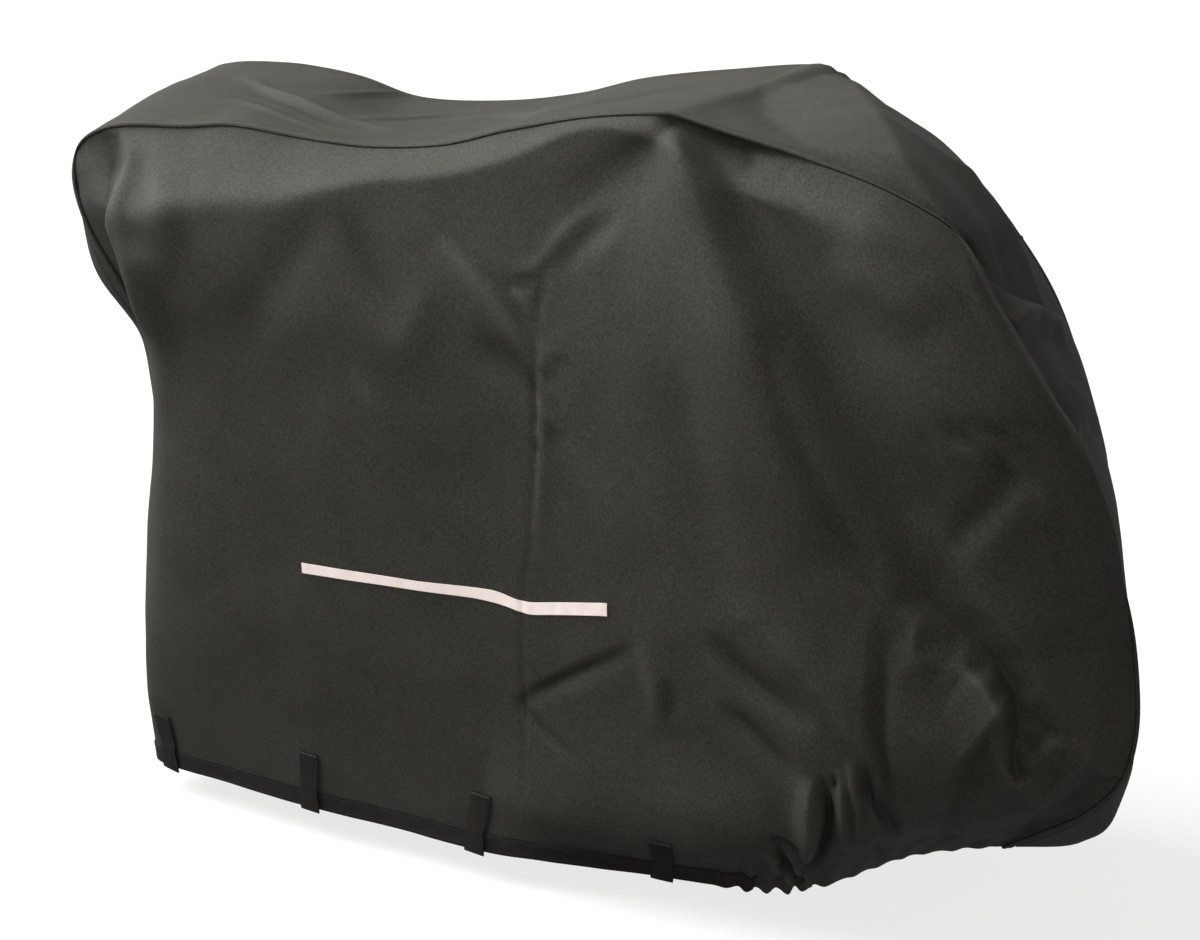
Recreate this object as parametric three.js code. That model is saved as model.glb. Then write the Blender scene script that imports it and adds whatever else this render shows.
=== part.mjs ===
// A fitted cover for a mobility scooter, in millimetres. x runs forward from the rear hem, y to the
// scooter's left, and heights are measured from the floor until the whole group is lowered at the end,
// so that its origin is the point under the top on which the hidden scooter carries it.
// One long gusset runs from the rear hem over the top to the front hem, between two side panels.

import * as THREE from 'three';

const clothThickness = 1.5;
const webbingThickness = 1.5;
const webbingWidth = 30;
const stripThickness = 0.8;
const pieceGap = 0.3;
const seamGap = 0.5;
const endSoftness = 3;
const gussetStrips = 6;
const halvings = 30;
const nearSide = -1;
const farSide = 1;

// A drop is a line on a side panel from its top seam to its hem, and a level is a share of that drop.
// The reflective strip and the hem webbing each lie between two levels of their own.
const stripLevels = { top: 0.59, bottom: 0.606 };
const stripEnds = { rear: 344, front: 789 };
const bandLevel = 0.969;
const bandEnd = 948;
const rowsAboveStrip = 11;
const rowsBelowStrip = 7;

// The belt loops are tabs that hold the hem webbing. Each reaches above it and a little below the hem.
const loopPlaces = [62, 315, 577, 831];
const columnsBetweenLoops = [3, 6, 6, 6, 11];
const loopReach = { aboveBand: 61, knee: 6, belowHem: 4 };

// Where the scooter carries the cover: a point just under the middle of the gusset.
const carriedAt = { x: 615, y: -5, z: 989.5 };

// The gusset's cross sections: where it meets the near and the far side panel, and how far its middle
// stands forward of, and above, a straight line between the two seams.
const gussetSections = [
  { name: 'rear hem', near: [35, -110, 40], far: [35, 110, 40], crown: [-25, 0] },
  { name: 'rear low', near: [42, -122, 220], far: [42, 122, 220], crown: [-45, 0] },
  { name: 'rear mid', near: [52, -138, 440], far: [48, 138, 440], crown: [-58, 0] },
  { name: 'under seat', near: [62, -168, 640], far: [46, 165, 640], crown: [-80, 0] },
  { name: 'overhang', near: [30, -203, 735], far: [2, 196, 738], crown: [-70, 0] },
  { name: 'seat back', near: [-10, -214, 810], far: [-38, 203, 815], crown: [-38, 0] },
  { name: 'back rise', near: [-30, -213, 872], far: [-58, 203, 888], crown: [-12, 2] },
  { name: 'rear corner', near: [-23, -208, 918], far: [-62, 200, 953], crown: [-7, 5] },
  { name: 'corner top', near: [8, -212, 942], far: [-22, 203, 978], crown: [-4, 10] },
  { name: 'seat rear', near: [60, -215, 957], far: [40, 205, 984], crown: [0, 10] },
  { name: 'seat', near: [150, -215, 962], far: [105, 205, 980], crown: [0, 8] },
  { name: 'seat front', near: [225, -215, 969], far: [172, 205, 968], crown: [0, 3] },
  { name: 'seat edge', near: [335, -215, 960], far: [268, 205, 943], crown: [0, -5] },
  { name: 'dip', near: [430, -216, 957], far: [400, 205, 947], crown: [0, -4] },
  { name: 'dip front', near: [530, -218, 967], far: [515, 207, 965], crown: [0, -4] },
  { name: 'rise', near: [620, -221, 992], far: [610, 210, 991], crown: [0, 0] },
  { name: 'rise top', near: [725, -225, 1015], far: [735, 214, 1014], crown: [0, 2] },
  { name: 'handlebar', near: [831, -228, 1027], far: [866, 218, 1029], crown: [0, 1] },
  { name: 'bar front', near: [905, -228, 1010], far: [924, 214, 990], crown: [0, 2] },
  { name: 'slope', near: [1000, -224, 988], far: [1004, 207, 945], crown: [4, 8] },
  { name: 'shoulder', near: [1100, -218, 955], far: [1080, 199, 894], crown: [6, 9] },
  { name: 'front corner', near: [1185, -203, 905], far: [1144, 192, 826], crown: [8, 8] },
  { name: 'front rise', near: [1234, -198, 826], far: [1198, 186, 750], crown: [12, 8] },
  { name: 'front high', near: [1282, -189, 738], far: [1238, 178, 660], crown: [14, 6] },
  { name: 'front', near: [1328, -176, 648], far: [1266, 169, 562], crown: [13, 4] },
  { name: 'nose top', near: [1364, -161, 557], far: [1291, 160, 470], crown: [8, 2] },
  { name: 'nose high', near: [1392, -150, 470], far: [1312, 152, 380], crown: [2, 0] },
  { name: 'nose', near: [1407, -147, 385], far: [1326, 146, 300], crown: [2, 0] },
  { name: 'nose low', near: [1410, -145, 310], far: [1330, 138, 235], crown: [4, 0] },
  { name: 'nose turn', near: [1395, -138, 248], far: [1320, 125, 185], crown: [12, -6] },
  { name: 'keel', near: [1352, -122, 193], far: [1292, 108, 145], crown: [30, -14] },
  { name: 'keel low', near: [1298, -96, 150], far: [1262, 88, 126], crown: [56, -8] },
  { name: 'front hem', near: [1235, -65, 103], far: [1235, 65, 103], crown: [88, 4] },
];

// The lower edge of a side panel in plan, from the rear seam to the front seam. out is measured from
// the middle of the cover.
const hemSections = [
  { name: 'rear seam', x: 35, out: 110, z: 40 },
  { name: 'rear turn', x: 24, out: 140, z: 40 },
  { name: 'rear corner', x: 26, out: 172, z: 40 },
  { name: 'first loop', x: 62, out: 188, z: 40 },
  { name: 'wheel', x: 150, out: 207, z: 43 },
  { name: 'second loop', x: 300, out: 229, z: 43 },
  { name: 'side', x: 458, out: 241, z: 43 },
  { name: 'third loop', x: 587, out: 252, z: 42 },
  { name: 'widest', x: 680, out: 251, z: 46 },
  { name: 'fourth loop', x: 813, out: 222, z: 43 },
  { name: 'band end', x: 962, out: 197, z: 42 },
  { name: 'gathers', x: 1030, out: 170, z: 58 },
  { name: 'front turn', x: 1115, out: 112, z: 93 },
  { name: 'nose', x: 1180, out: 80, z: 98 },
  { name: 'front seam', x: 1235, out: 65, z: 103 },
];

// How a side panel stands out from the flat patch between its four edges, at each of its drops and at
// four heights down the drop, and how far it is pushed forward there.
const dropSections = [
  { name: 'rear seam', at: 0, high: 0, upper: 0, lower: 0, low: 0, upperForward: 0, lowerForward: 0 },
  { name: 'corner', at: 0.035, high: 24, upper: 26, lower: 40, low: 30, upperForward: -6, lowerForward: -10 },
  { name: 'behind', at: 0.1, high: 46, upper: 62, lower: 60, low: 30, upperForward: 0, lowerForward: -6 },
  { name: 'seat', at: 0.25, high: 58, upper: 72, lower: 58, low: 24, upperForward: 0, lowerForward: 0 },
  { name: 'gap', at: 0.4, high: 66, upper: 72, lower: 54, low: 18, upperForward: 0, lowerForward: 0 },
  { name: 'tiller', at: 0.53, high: 44, upper: 52, lower: 46, low: 16, upperForward: 0, lowerForward: 0 },
  { name: 'handlebar', at: 0.66, high: 60, upper: 68, lower: 70, low: 30, upperForward: 0, lowerForward: 0 },
  { name: 'bulge', at: 0.8, high: 58, upper: 82, lower: 84, low: 64, upperForward: 8, lowerForward: 10 },
  { name: 'slope', at: 0.9, high: 48, upper: 70, lower: 66, low: 58, upperForward: 12, lowerForward: 20 },
  { name: 'nose', at: 0.97, high: 26, upper: 34, lower: 36, low: 36, upperForward: 14, lowerForward: 16 },
  { name: 'front seam', at: 1, high: 0, upper: 0, lower: 0, low: 0, upperForward: 0, lowerForward: 0 },
];
const dropHeights = { high: 0.065, upper: 0.3, lower: 0.62, low: 0.86 };

// Folds of the near side panel, each along a line in x and height. A ridge has a positive depth.
const nearFolds = [
  { name: 'bar point', from: [850, 1010], to: [862, 900], width: 30, depth: 22 },
  { name: 'left valley', from: [836, 1000], to: [705, 830], width: 46, depth: -20 },
  { name: 'right valley', from: [872, 985], to: [985, 760], width: 44, depth: -18 },
  { name: 'long valley', from: [985, 760], to: [1225, 430], width: 60, depth: -20 },
  { name: 'centre crease', from: [700, 830], to: [670, 280], width: 40, depth: -8 },
  { name: 'front bulge', from: [1085, 900], to: [1200, 700], width: 90, depth: 14 },
  { name: 'low ridge', from: [1262, 345], to: [1110, 130], width: 50, depth: 26 },
  { name: 'nose valley', from: [1285, 300], to: [1320, 240], width: 40, depth: -24 },
  { name: 'belly', from: [960, 400], to: [1040, 300], width: 90, depth: 14 },
];

// Folds of the far side panel, which hangs more plainly.
const farFolds = [
  { name: 'bar point', from: [884, 1006], to: [880, 900], width: 30, depth: 18 },
  { name: 'left valley', from: [860, 990], to: [740, 800], width: 50, depth: -16 },
  { name: 'right valley', from: [905, 960], to: [1010, 700], width: 50, depth: -16 },
  { name: 'long valley', from: [1010, 700], to: [1190, 400], width: 60, depth: -14 },
  { name: 'low ridge', from: [1200, 330], to: [1080, 140], width: 50, depth: 18 },
];

// Folds of the gusset, each along a straight line between two points.
const gussetFolds = [
  { name: 'bar ridge', from: [872, 214, 1031], to: [1170, -196, 920], width: 46, depth: 12 },
  { name: 'seat valley', from: [90, 40, 1000], to: [470, -180, 955], width: 40, depth: -7 },
  { name: 'seat ridge', from: [150, 60, 1000], to: [560, -150, 965], width: 34, depth: 6 },
  { name: 'front valley', from: [1190, -110, 868], to: [1235, 60, 770], width: 36, depth: -10 },
  { name: 'front ridge', from: [1215, -150, 835], to: [1275, 20, 730], width: 36, depth: 10 },
];

// A smooth curve through the values of a table, read where its key column has the given value.
function readTable(rows, key, valueOf, wanted) {
  let row = 0;
  while (row < rows.length - 2 && rows[row + 1][key] <= wanted) {
    row += 1;
  }
  const slopeAt = (index) => {
    const before = rows[Math.max(index - 1, 0)];
    const after = rows[Math.min(index + 1, rows.length - 1)];
    return (valueOf(after) - valueOf(before)) / (after[key] - before[key]);
  };
  const span = rows[row + 1][key] - rows[row][key];
  const t = THREE.MathUtils.clamp((wanted - rows[row][key]) / span, 0, 1);
  const rise = t * t * (3 - 2 * t);
  const start = t * (1 - t) * (1 - t) * span * slopeAt(row);
  const end = t * t * (1 - t) * span * slopeAt(row + 1);
  return valueOf(rows[row]) * (1 - rise) + valueOf(rows[row + 1]) * rise + start - end;
}

function readPoint(rows, key, pointOf, wanted) {
  const [x, y, z] = [0, 1, 2].map((axis) => readTable(rows, key, (row) => pointOf(row)[axis], wanted));
  return new THREE.Vector3(x, y, z);
}

// The same rows, each with how far along the table's own line it lies.
function measured(rows, pointOf) {
  let along = 0;
  return rows.map((row, index) => {
    if (index > 0) {
      along += pointOf(row).distanceTo(pointOf(rows[index - 1]));
    }
    return { ...row, along };
  });
}

const gussetRows = measured(gussetSections, (row) => new THREE.Vector3(...row.near)
  .lerp(new THREE.Vector3(...row.far), 0.5));
const hemRows = measured(hemSections, (row) => new THREE.Vector3(row.x, row.out, row.z));
const gussetLength = gussetRows[gussetRows.length - 1].along;
const hemLength = hemRows[hemRows.length - 1].along;
const rearCorner = gussetRows.find((row) => row.name === 'rear corner').along;
const frontCorner = gussetRows.find((row) => row.name === 'front corner').along;

const levels = [];
for (let row = 0; row < rowsAboveStrip; row += 1) {
  levels.push(stripLevels.top * row / rowsAboveStrip);
}
for (let row = 0; row < rowsBelowStrip; row += 1) {
  levels.push(THREE.MathUtils.lerp(stripLevels.bottom, bandLevel, row / rowsBelowStrip));
}
levels.splice(rowsAboveStrip, 0, stripLevels.top);
levels.push(bandLevel, 1);
const bandRow = levels.length - 2;
const hemRow = levels.length - 1;

function seamPoint(side, along) {
  return readPoint(gussetRows, 'along', (row) => (side === nearSide ? row.near : row.far), along);
}

function hemPoint(side, at) {
  return readPoint(hemRows, 'along', (row) => [row.x, side * row.out, row.z], at * hemLength);
}

// Where a value that rises between two ends passes the wanted one.
function whereRising(valueAt, start, end, wanted) {
  let low = start;
  let high = end;
  for (let halving = 0; halving < halvings; halving += 1) {
    const middle = (low + high) / 2;
    if (valueAt(middle) < wanted) {
      low = middle;
    } else {
      high = middle;
    }
  }
  return low;
}

function topAlong(at) {
  return THREE.MathUtils.lerp(rearCorner, frontCorner, at);
}

// Up the rear and down the front, a level lies at the same share of the height as on a drop.
function rearAlong(level) {
  const heightAt = (along) => seamPoint(nearSide, along).z;
  return whereRising(heightAt, 0, rearCorner, THREE.MathUtils.lerp(heightAt(rearCorner), heightAt(0), level));
}

function frontAlong(level) {
  const fallAt = (along) => -seamPoint(nearSide, along).z;
  const wanted = THREE.MathUtils.lerp(fallAt(frontCorner), fallAt(gussetLength), level);
  return whereRising(fallAt, frontCorner, gussetLength, wanted);
}

// The drops that a side panel is divided by, as shares of its length, with one at each belt loop.
function makeDrops() {
  const forwardAt = (at) => hemPoint(nearSide, at).x;
  const stops = [0, ...loopPlaces.map((place) => whereRising(forwardAt, 0, 1, place)), 1];
  const drops = columnsBetweenLoops.flatMap((count, part) => Array.from({ length: count }, (_, k) => (
    THREE.MathUtils.lerp(stops[part], stops[part + 1], k / count))));
  return [...drops, 1];
}

const drops = makeDrops();
const columns = drops.length - 1;

// The plain patch between the four edges of a side panel: straight drops from the seam to the hem,
// bent near each end towards the rear and the front seam.
function patchPoint(side, at, level) {
  const point = seamPoint(side, topAlong(at)).lerp(hemPoint(side, at), level);
  const ends = [
    { alongAt: rearAlong, reach: (1 - at) ** endSoftness },
    { alongAt: frontAlong, reach: at ** endSoftness },
  ];
  for (const { alongAt, reach } of ends) {
    const straight = seamPoint(side, alongAt(0)).lerp(seamPoint(side, alongAt(1)), level);
    point.addScaledVector(seamPoint(side, alongAt(level)).sub(straight), reach);
  }
  return point;
}

function panelPoint(side, at, level) {
  const section = (column) => readTable(dropSections, 'at', (row) => row[column], at);
  const drop = [
    { level: 0, out: 0, forward: 0 },
    { level: dropHeights.high, out: section('high'), forward: 0 },
    { level: dropHeights.upper, out: section('upper'), forward: section('upperForward') },
    { level: dropHeights.lower, out: section('lower'), forward: section('lowerForward') },
    { level: dropHeights.low, out: section('low'), forward: 0 },
    { level: 1, out: 0, forward: 0 },
  ];
  const point = patchPoint(side, at, level);
  point.y += side * readTable(drop, 'level', (row) => row.out, level);
  point.x += readTable(drop, 'level', (row) => row.forward, level);
  return point;
}

function gussetPoint(along, across) {
  const crown = readPoint(gussetRows, 'along', (row) => [row.crown[0], 0, row.crown[1]], along);
  const arch = 4 * across * (1 - across);
  return seamPoint(nearSide, along).lerp(seamPoint(farSide, along), across).addScaledVector(crown, arch);
}

// How far the folds lift the cloth at a point: each is a soft ridge or trough along its line.
function foldHeight(folds, point, facing) {
  let height = 0;
  for (const fold of folds) {
    const [from, to] = [fold.from, fold.to].map((end) => (end.length === 3
      ? new THREE.Vector3(...end) : new THREE.Vector3(end[0], point.y, end[1])));
    const offset = new THREE.Line3(from, to).closestPointToPoint(point, true, new THREE.Vector3());
    offset.sub(point).projectOnPlane(facing);
    height += fold.depth * Math.exp(-offset.lengthSq() / (fold.width * fold.width));
  }
  return height;
}

// The outward normals of a grid of points, from the neighbours of each.
function gridNormals(points, outwardSign) {
  const last = points.length - 1;
  return points.map((line, i) => line.map((_, j) => {
    const along = points[Math.min(i + 1, last)][j].clone().sub(points[Math.max(i - 1, 0)][j]);
    const down = line[Math.min(j + 1, line.length - 1)].clone().sub(line[Math.max(j - 1, 0)]);
    return along.cross(down).normalize().multiplyScalar(outwardSign);
  }));
}

function makeGrid(iCount, jCount, pointAt) {
  return Array.from({ length: iCount }, (_, i) => Array.from({ length: jCount }, (__, j) => pointAt(i, j)));
}

// A grid pushed out by its folds, which die away towards the seams.
function foldedGrid(base, outwardSign, folds, fadeAt) {
  const normals = gridNormals(base, outwardSign);
  return base.map((line, i) => line.map((point, j) => {
    const height = foldHeight(folds, point, normals[i][j]) * fadeAt(i, j);
    return point.clone().addScaledVector(normals[i][j], height);
  }));
}

const seamFade = 0.03;

function panelGrid(side, folds) {
  const base = makeGrid(columns + 1, levels.length, (i, j) => panelPoint(side, drops[i], levels[j]));
  const fadeAt = (i, j) => THREE.MathUtils.smoothstep(levels[j], 0, seamFade)
    * THREE.MathUtils.smoothstep(Math.min(drops[i], 1 - drops[i]), 0, seamFade);
  return foldedGrid(base, side, folds, fadeAt);
}

const stations = [
  ...levels.map(rearAlong).reverse(),
  ...drops.slice(1, -1).map(topAlong),
  ...levels.map(frontAlong),
];

function gussetGrid() {
  const pointAt = (i, j) => gussetPoint(stations[i], j / gussetStrips);
  const base = makeGrid(stations.length, gussetStrips + 1, pointAt);
  const fadeAt = (i, j) => (j === 0 || j === gussetStrips ? 0 : 1);
  return foldedGrid(base, 1, gussetFolds, fadeAt);
}

// Which station of the gusset a point on the edge of a side panel is sewn to, or -1 inside the panel.
function stationOf(i, j) {
  if (i === 0) {
    return hemRow - j;
  }
  if (i === columns) {
    return hemRow + columns + j;
  }
  return j === 0 ? hemRow + i : -1;
}

const nearGrid = panelGrid(nearSide, nearFolds);
const farGrid = panelGrid(farSide, farFolds);
const gusset = gussetGrid();
const nearNormals = gridNormals(nearGrid, nearSide);
const farNormals = gridNormals(farGrid, farSide);
const gussetNormals = gridNormals(gusset, 1);

// The way out at a seam, midway between the outward normals of the two sheets that meet there.
function seamOutward(side, i, j) {
  const normals = side === nearSide ? nearNormals : farNormals;
  const edge = side === nearSide ? 0 : gussetStrips;
  return normals[i][j].clone().add(gussetNormals[stationOf(i, j)][edge]).normalize();
}

function clothSheet(points, normals) {
  return {
    outer: points.map((line) => line.map((point) => point.clone())),
    inner: points.map((line, i) => line.map((point, j) => point.clone()
      .addScaledVector(normals[i][j], -clothThickness))),
  };
}

// Along a seam both sheets are cut to the same mitre, and each keeps half the gap from it.
function cutSeams(side, panelSheet, gussetSheet) {
  const edge = side === nearSide ? 0 : gussetStrips;
  for (let i = 0; i <= columns; i += 1) {
    for (let j = 0; j <= hemRow; j += 1) {
      const station = stationOf(i, j);
      if (station >= 0) {
        const inward = seamOutward(side, i, j).negate();
        const next = gusset[Math.min(station + 1, gusset.length - 1)][edge];
        const previous = gusset[Math.max(station - 1, 0)][edge];
        const toGusset = next.clone().sub(previous).cross(inward).normalize().multiplyScalar(-side);
        const panelEdge = gusset[station][edge].clone().addScaledVector(toGusset, -seamGap / 2);
        const gussetEdge = gusset[station][edge].clone().addScaledVector(toGusset, seamGap / 2);
        panelSheet.outer[i][j] = panelEdge;
        panelSheet.inner[i][j] = panelEdge.clone().addScaledVector(inward, clothThickness);
        gussetSheet.outer[station][edge] = gussetEdge;
        gussetSheet.inner[station][edge] = gussetEdge.clone().addScaledVector(inward, clothThickness);
      }
    }
  }
}

// Swapping two corners of every triangle turns a mirrored box the right way out again.
function flipFaces(geometry) {
  const index = geometry.index;
  for (let corner = 0; corner < index.count; corner += 3) {
    const second = index.getX(corner + 1);
    index.setX(corner + 1, index.getX(corner + 2));
    index.setX(corner + 2, second);
  }
}

// A box splits the quads of its back face along the other diagonal. This gives them the front's, and
// where a sewn-on strip runs the other way from its cloth, it gives both faces the other one.
function matchDiagonals(geometry, across, turnedAt) {
  const index = geometry.index;
  const [front, back] = geometry.groups.slice(4);
  for (const face of [front, back]) {
    for (let quad = 0; quad < face.count / 6; quad += 1) {
      const column = face === front ? quad % across : across - 1 - quad % across;
      const corner = face.start + quad * 6;
      if ((face === back) !== turnedAt(column)) {
        index.setX(corner + 2, index.getX(corner + 4));
        index.setX(corner + 3, index.getX(corner));
      }
    }
  }
}

// A closed sheet: a flat box whose two large faces are laid on the outer and the inner grid.
function sheetMesh(name, sheet, material, flipped = false, turnedAt = () => false) {
  const across = sheet.outer.length - 1;
  const down = sheet.outer[0].length - 1;
  const geometry = new THREE.BoxGeometry(1, 1, 1, across, down, 1);
  const position = geometry.attributes.position;
  for (let vertex = 0; vertex < position.count; vertex += 1) {
    const i = Math.round((position.getX(vertex) + 0.5) * across);
    const j = Math.round((0.5 - position.getY(vertex)) * down);
    const grid = position.getZ(vertex) > 0 ? sheet.outer : sheet.inner;
    position.setXYZ(vertex, grid[i][j].x, grid[i][j].y, grid[i][j].z);
  }
  matchDiagonals(geometry, across, turnedAt);
  if (flipped) {
    flipFaces(geometry);
  }
  geometry.computeVertexNormals();
  const mesh = new THREE.Mesh(geometry, material);
  mesh.name = name;
  return mesh;
}

// A sewn-on strip follows lines of places on the cloth, each a point and the way out from it.
function liftedSheet(lines, thickness) {
  const lift = (height) => lines.map((line) => line.map(({ point, outward }) => point.clone()
    .addScaledVector(outward, height)));
  return { outer: lift(pieceGap + thickness), inner: lift(pieceGap) };
}

// A place on a row of the near panel, at a distance forward.
function placeAtX(row, x) {
  let i = 0;
  while (nearGrid[i + 1][row].x < x) {
    i += 1;
  }
  const share = (x - nearGrid[i][row].x) / (nearGrid[i + 1][row].x - nearGrid[i][row].x);
  return {
    point: nearGrid[i][row].clone().lerp(nearGrid[i + 1][row], share),
    outward: nearNormals[i][row].clone().lerp(nearNormals[i + 1][row], share).normalize(),
  };
}

function makeReflectiveStrip(material) {
  const rows = [rowsAboveStrip, rowsAboveStrip + 1];
  const inside = nearGrid.map((line, i) => ({ i, x: line[rowsAboveStrip].x }))
    .filter(({ x }) => x > stripEnds.rear && x < stripEnds.front);
  const lines = [
    rows.map((row) => placeAtX(row, stripEnds.rear)),
    ...inside.map(({ i }) => rows.map((row) => ({ point: nearGrid[i][row], outward: nearNormals[i][row] }))),
    rows.map((row) => placeAtX(row, stripEnds.front)),
  ];
  return sheetMesh('reflective_strip', liftedSheet(lines, stripThickness), material);
}

// The webbing runs along the near hem, round the rear hem of the gusset and along the far hem.
function makeHemWebbing(material) {
  const sideCount = nearGrid.findIndex((line) => line[hemRow].x > bandEnd);
  const sideColumns = Array.from({ length: sideCount }, (_, i) => i + 1);
  const sideLine = (points, normals) => (i) => [bandRow, hemRow].map((row) => (
    { point: points[i][row], outward: normals[i][row] }));
  const cornerLine = (side) => [bandRow, hemRow].map((row) => {
    const outward = seamOutward(side, 0, row);
    const normals = side === nearSide ? nearNormals : farNormals;
    const edge = side === nearSide ? 0 : gussetStrips;
    return { point: gusset[hemRow - row][edge],
      outward: outward.clone().divideScalar(outward.dot(normals[0][row])) };
  });
  const rearColumns = Array.from({ length: gussetStrips - 1 }, (_, j) => j + 1);
  const lines = [
    ...sideColumns.map(sideLine(nearGrid, nearNormals)).reverse(),
    cornerLine(nearSide),
    ...rearColumns.map((j) => [1, 0].map((station) => (
      { point: gusset[station][j], outward: gussetNormals[station][j] }))),
    cornerLine(farSide),
    ...sideColumns.map(sideLine(farGrid, farNormals)),
  ];
  const beforeFarSide = (column) => column < sideCount + gussetStrips;
  return sheetMesh('hem_webbing', liftedSheet(lines, webbingThickness), material, true, beforeFarSide);
}

// A loop lies flat across one drop of the panel, and steps out over the webbing.
function makeBeltLoop(name, side, place, material) {
  const points = side === nearSide ? nearGrid : farGrid;
  const i = drops.findIndex((at) => hemPoint(side, at).x > place - pieceGap && at > 0);
  const column = points[i];
  const widthwise = points[i + 1][bandRow].clone().sub(points[i - 1][bandRow]).normalize();
  const down = column[hemRow].clone().sub(column[bandRow]).normalize();
  const up = column[bandRow - 1].clone().sub(column[bandRow]).normalize();
  const outward = widthwise.clone().cross(down).normalize().multiplyScalar(side);
  const hollow = [i - 1, i + 1].flatMap((k) => [bandRow - 1, bandRow, hemRow].map((row) => {
    const toNeighbour = points[k][row].clone().sub(column[row]);
    return toNeighbour.dot(outward) * webbingWidth / 2 / toNeighbour.length();
  }));
  const onCloth = pieceGap + Math.max(0, ...hollow);
  const onWebbing = onCloth + webbingThickness + pieceGap;
  const path = [
    { point: column[bandRow].clone().addScaledVector(up, loopReach.aboveBand), height: onCloth },
    { point: column[bandRow].clone().addScaledVector(up, loopReach.knee), height: onCloth },
    { point: column[bandRow], height: onWebbing },
    { point: column[hemRow], height: onWebbing },
    { point: column[hemRow].clone().addScaledVector(down, loopReach.belowHem), height: onWebbing },
  ];
  const gridAt = (extra) => [-1, 1].map((edge) => path.map(({ point, height }) => point.clone()
    .addScaledVector(outward, height + extra).addScaledVector(widthwise, edge * webbingWidth / 2)));
  return sheetMesh(name, { outer: gridAt(webbingThickness), inner: gridAt(0) }, material, side === farSide);
}

function clothMaterial(name, color, roughness) {
  return new THREE.MeshStandardMaterial({ name, color, roughness, metalness: 0 });
}

function makeCloth(material) {
  const nearSheet = clothSheet(nearGrid, nearNormals);
  const farSheet = clothSheet(farGrid, farNormals);
  const gussetSheet = clothSheet(gusset, gussetNormals);
  cutSeams(nearSide, nearSheet, gussetSheet);
  cutSeams(farSide, farSheet, gussetSheet);
  return [
    sheetMesh('side_panel_near', nearSheet, material),
    sheetMesh('side_panel_far', farSheet, material, true),
    sheetMesh('top_gusset', gussetSheet, material, true),
  ];
}

const coverCloth = clothMaterial('cover_cloth', '#3c3b35', 0.82);
const webbing = clothMaterial('webbing', '#252420', 0.7);
const reflectiveTape = clothMaterial('reflective_tape', '#d8cec6', 0.45);

const cover = new THREE.Group();
cover.add(...makeCloth(coverCloth));
cover.add(makeReflectiveStrip(reflectiveTape));
cover.add(makeHemWebbing(webbing));
loopPlaces.forEach((place, index) => {
  cover.add(makeBeltLoop(`belt_loop_near_${index + 1}`, nearSide, place, webbing));
  cover.add(makeBeltLoop(`belt_loop_far_${index + 1}`, farSide, place, webbing));
});
cover.position.set(-carriedAt.x, -carriedAt.y, -carriedAt.z);

export default cover;
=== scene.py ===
import math

import bmesh
import bpy
import numpy as np
from mathutils import Matrix, Vector
from mathutils.geometry import delaunay_2d_cdt


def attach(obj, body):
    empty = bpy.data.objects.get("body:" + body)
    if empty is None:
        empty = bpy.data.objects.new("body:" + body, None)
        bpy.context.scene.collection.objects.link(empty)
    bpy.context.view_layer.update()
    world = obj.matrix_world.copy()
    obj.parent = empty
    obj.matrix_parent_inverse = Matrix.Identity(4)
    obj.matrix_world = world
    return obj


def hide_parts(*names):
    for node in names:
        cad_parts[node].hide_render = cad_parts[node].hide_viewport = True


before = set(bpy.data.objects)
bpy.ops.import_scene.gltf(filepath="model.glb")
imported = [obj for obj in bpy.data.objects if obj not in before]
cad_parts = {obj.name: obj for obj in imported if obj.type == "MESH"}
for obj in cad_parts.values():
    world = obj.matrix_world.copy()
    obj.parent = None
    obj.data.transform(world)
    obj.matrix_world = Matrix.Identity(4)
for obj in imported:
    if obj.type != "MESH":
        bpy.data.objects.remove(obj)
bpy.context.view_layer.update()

# A fitted cover for a mobility scooter. The tables are in millimetres: x runs forward from the rear
# hem, y to the scooter's left, and z up from the floor. toFrame puts them in the frame, in metres.
nearSide = -1
farSide = 1
cover = {
    "carriedAt": (615.0, -5.0, 989.5),
    "clothThickness": 1.5,
    "endSoftness": 3,
    "turnCrispness": 12,
    "turnHollow": 1.35,
    "lapReach": 4.5,
    "lapLift": 1.9,
    "stitchLine": 13.0,
    "frontSoftening": 0.65,
    "frontFrom": (0.62, 0.7),
    "lapCrown": 0.5,
    "edgeTurn": 0.9,
    "turnedAt": (1.001, 1.002, 1.003),
    "turnedShares": (0.35, 0.7, 1.0),
    "rippleCount": 26,
    "rippleSizes": (50, 190),
    # how strongly the relief of the folds pales the crests and darkens the hollows in the cloth's colour:
    # partly wear, partly painted highlight and painted shade
    "wearAndPaintedLightRelief": 50,
    "wearAndPaintedLightRange": (-0.14, 0.45),
    "reliefPasses": 8,
    "reliefScale": 3,
    "backFullness": 3,
    "fullerFrom": (300, 560),
    "fullerUntil": (800, 900),
    "stations": 4000,
}

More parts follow.
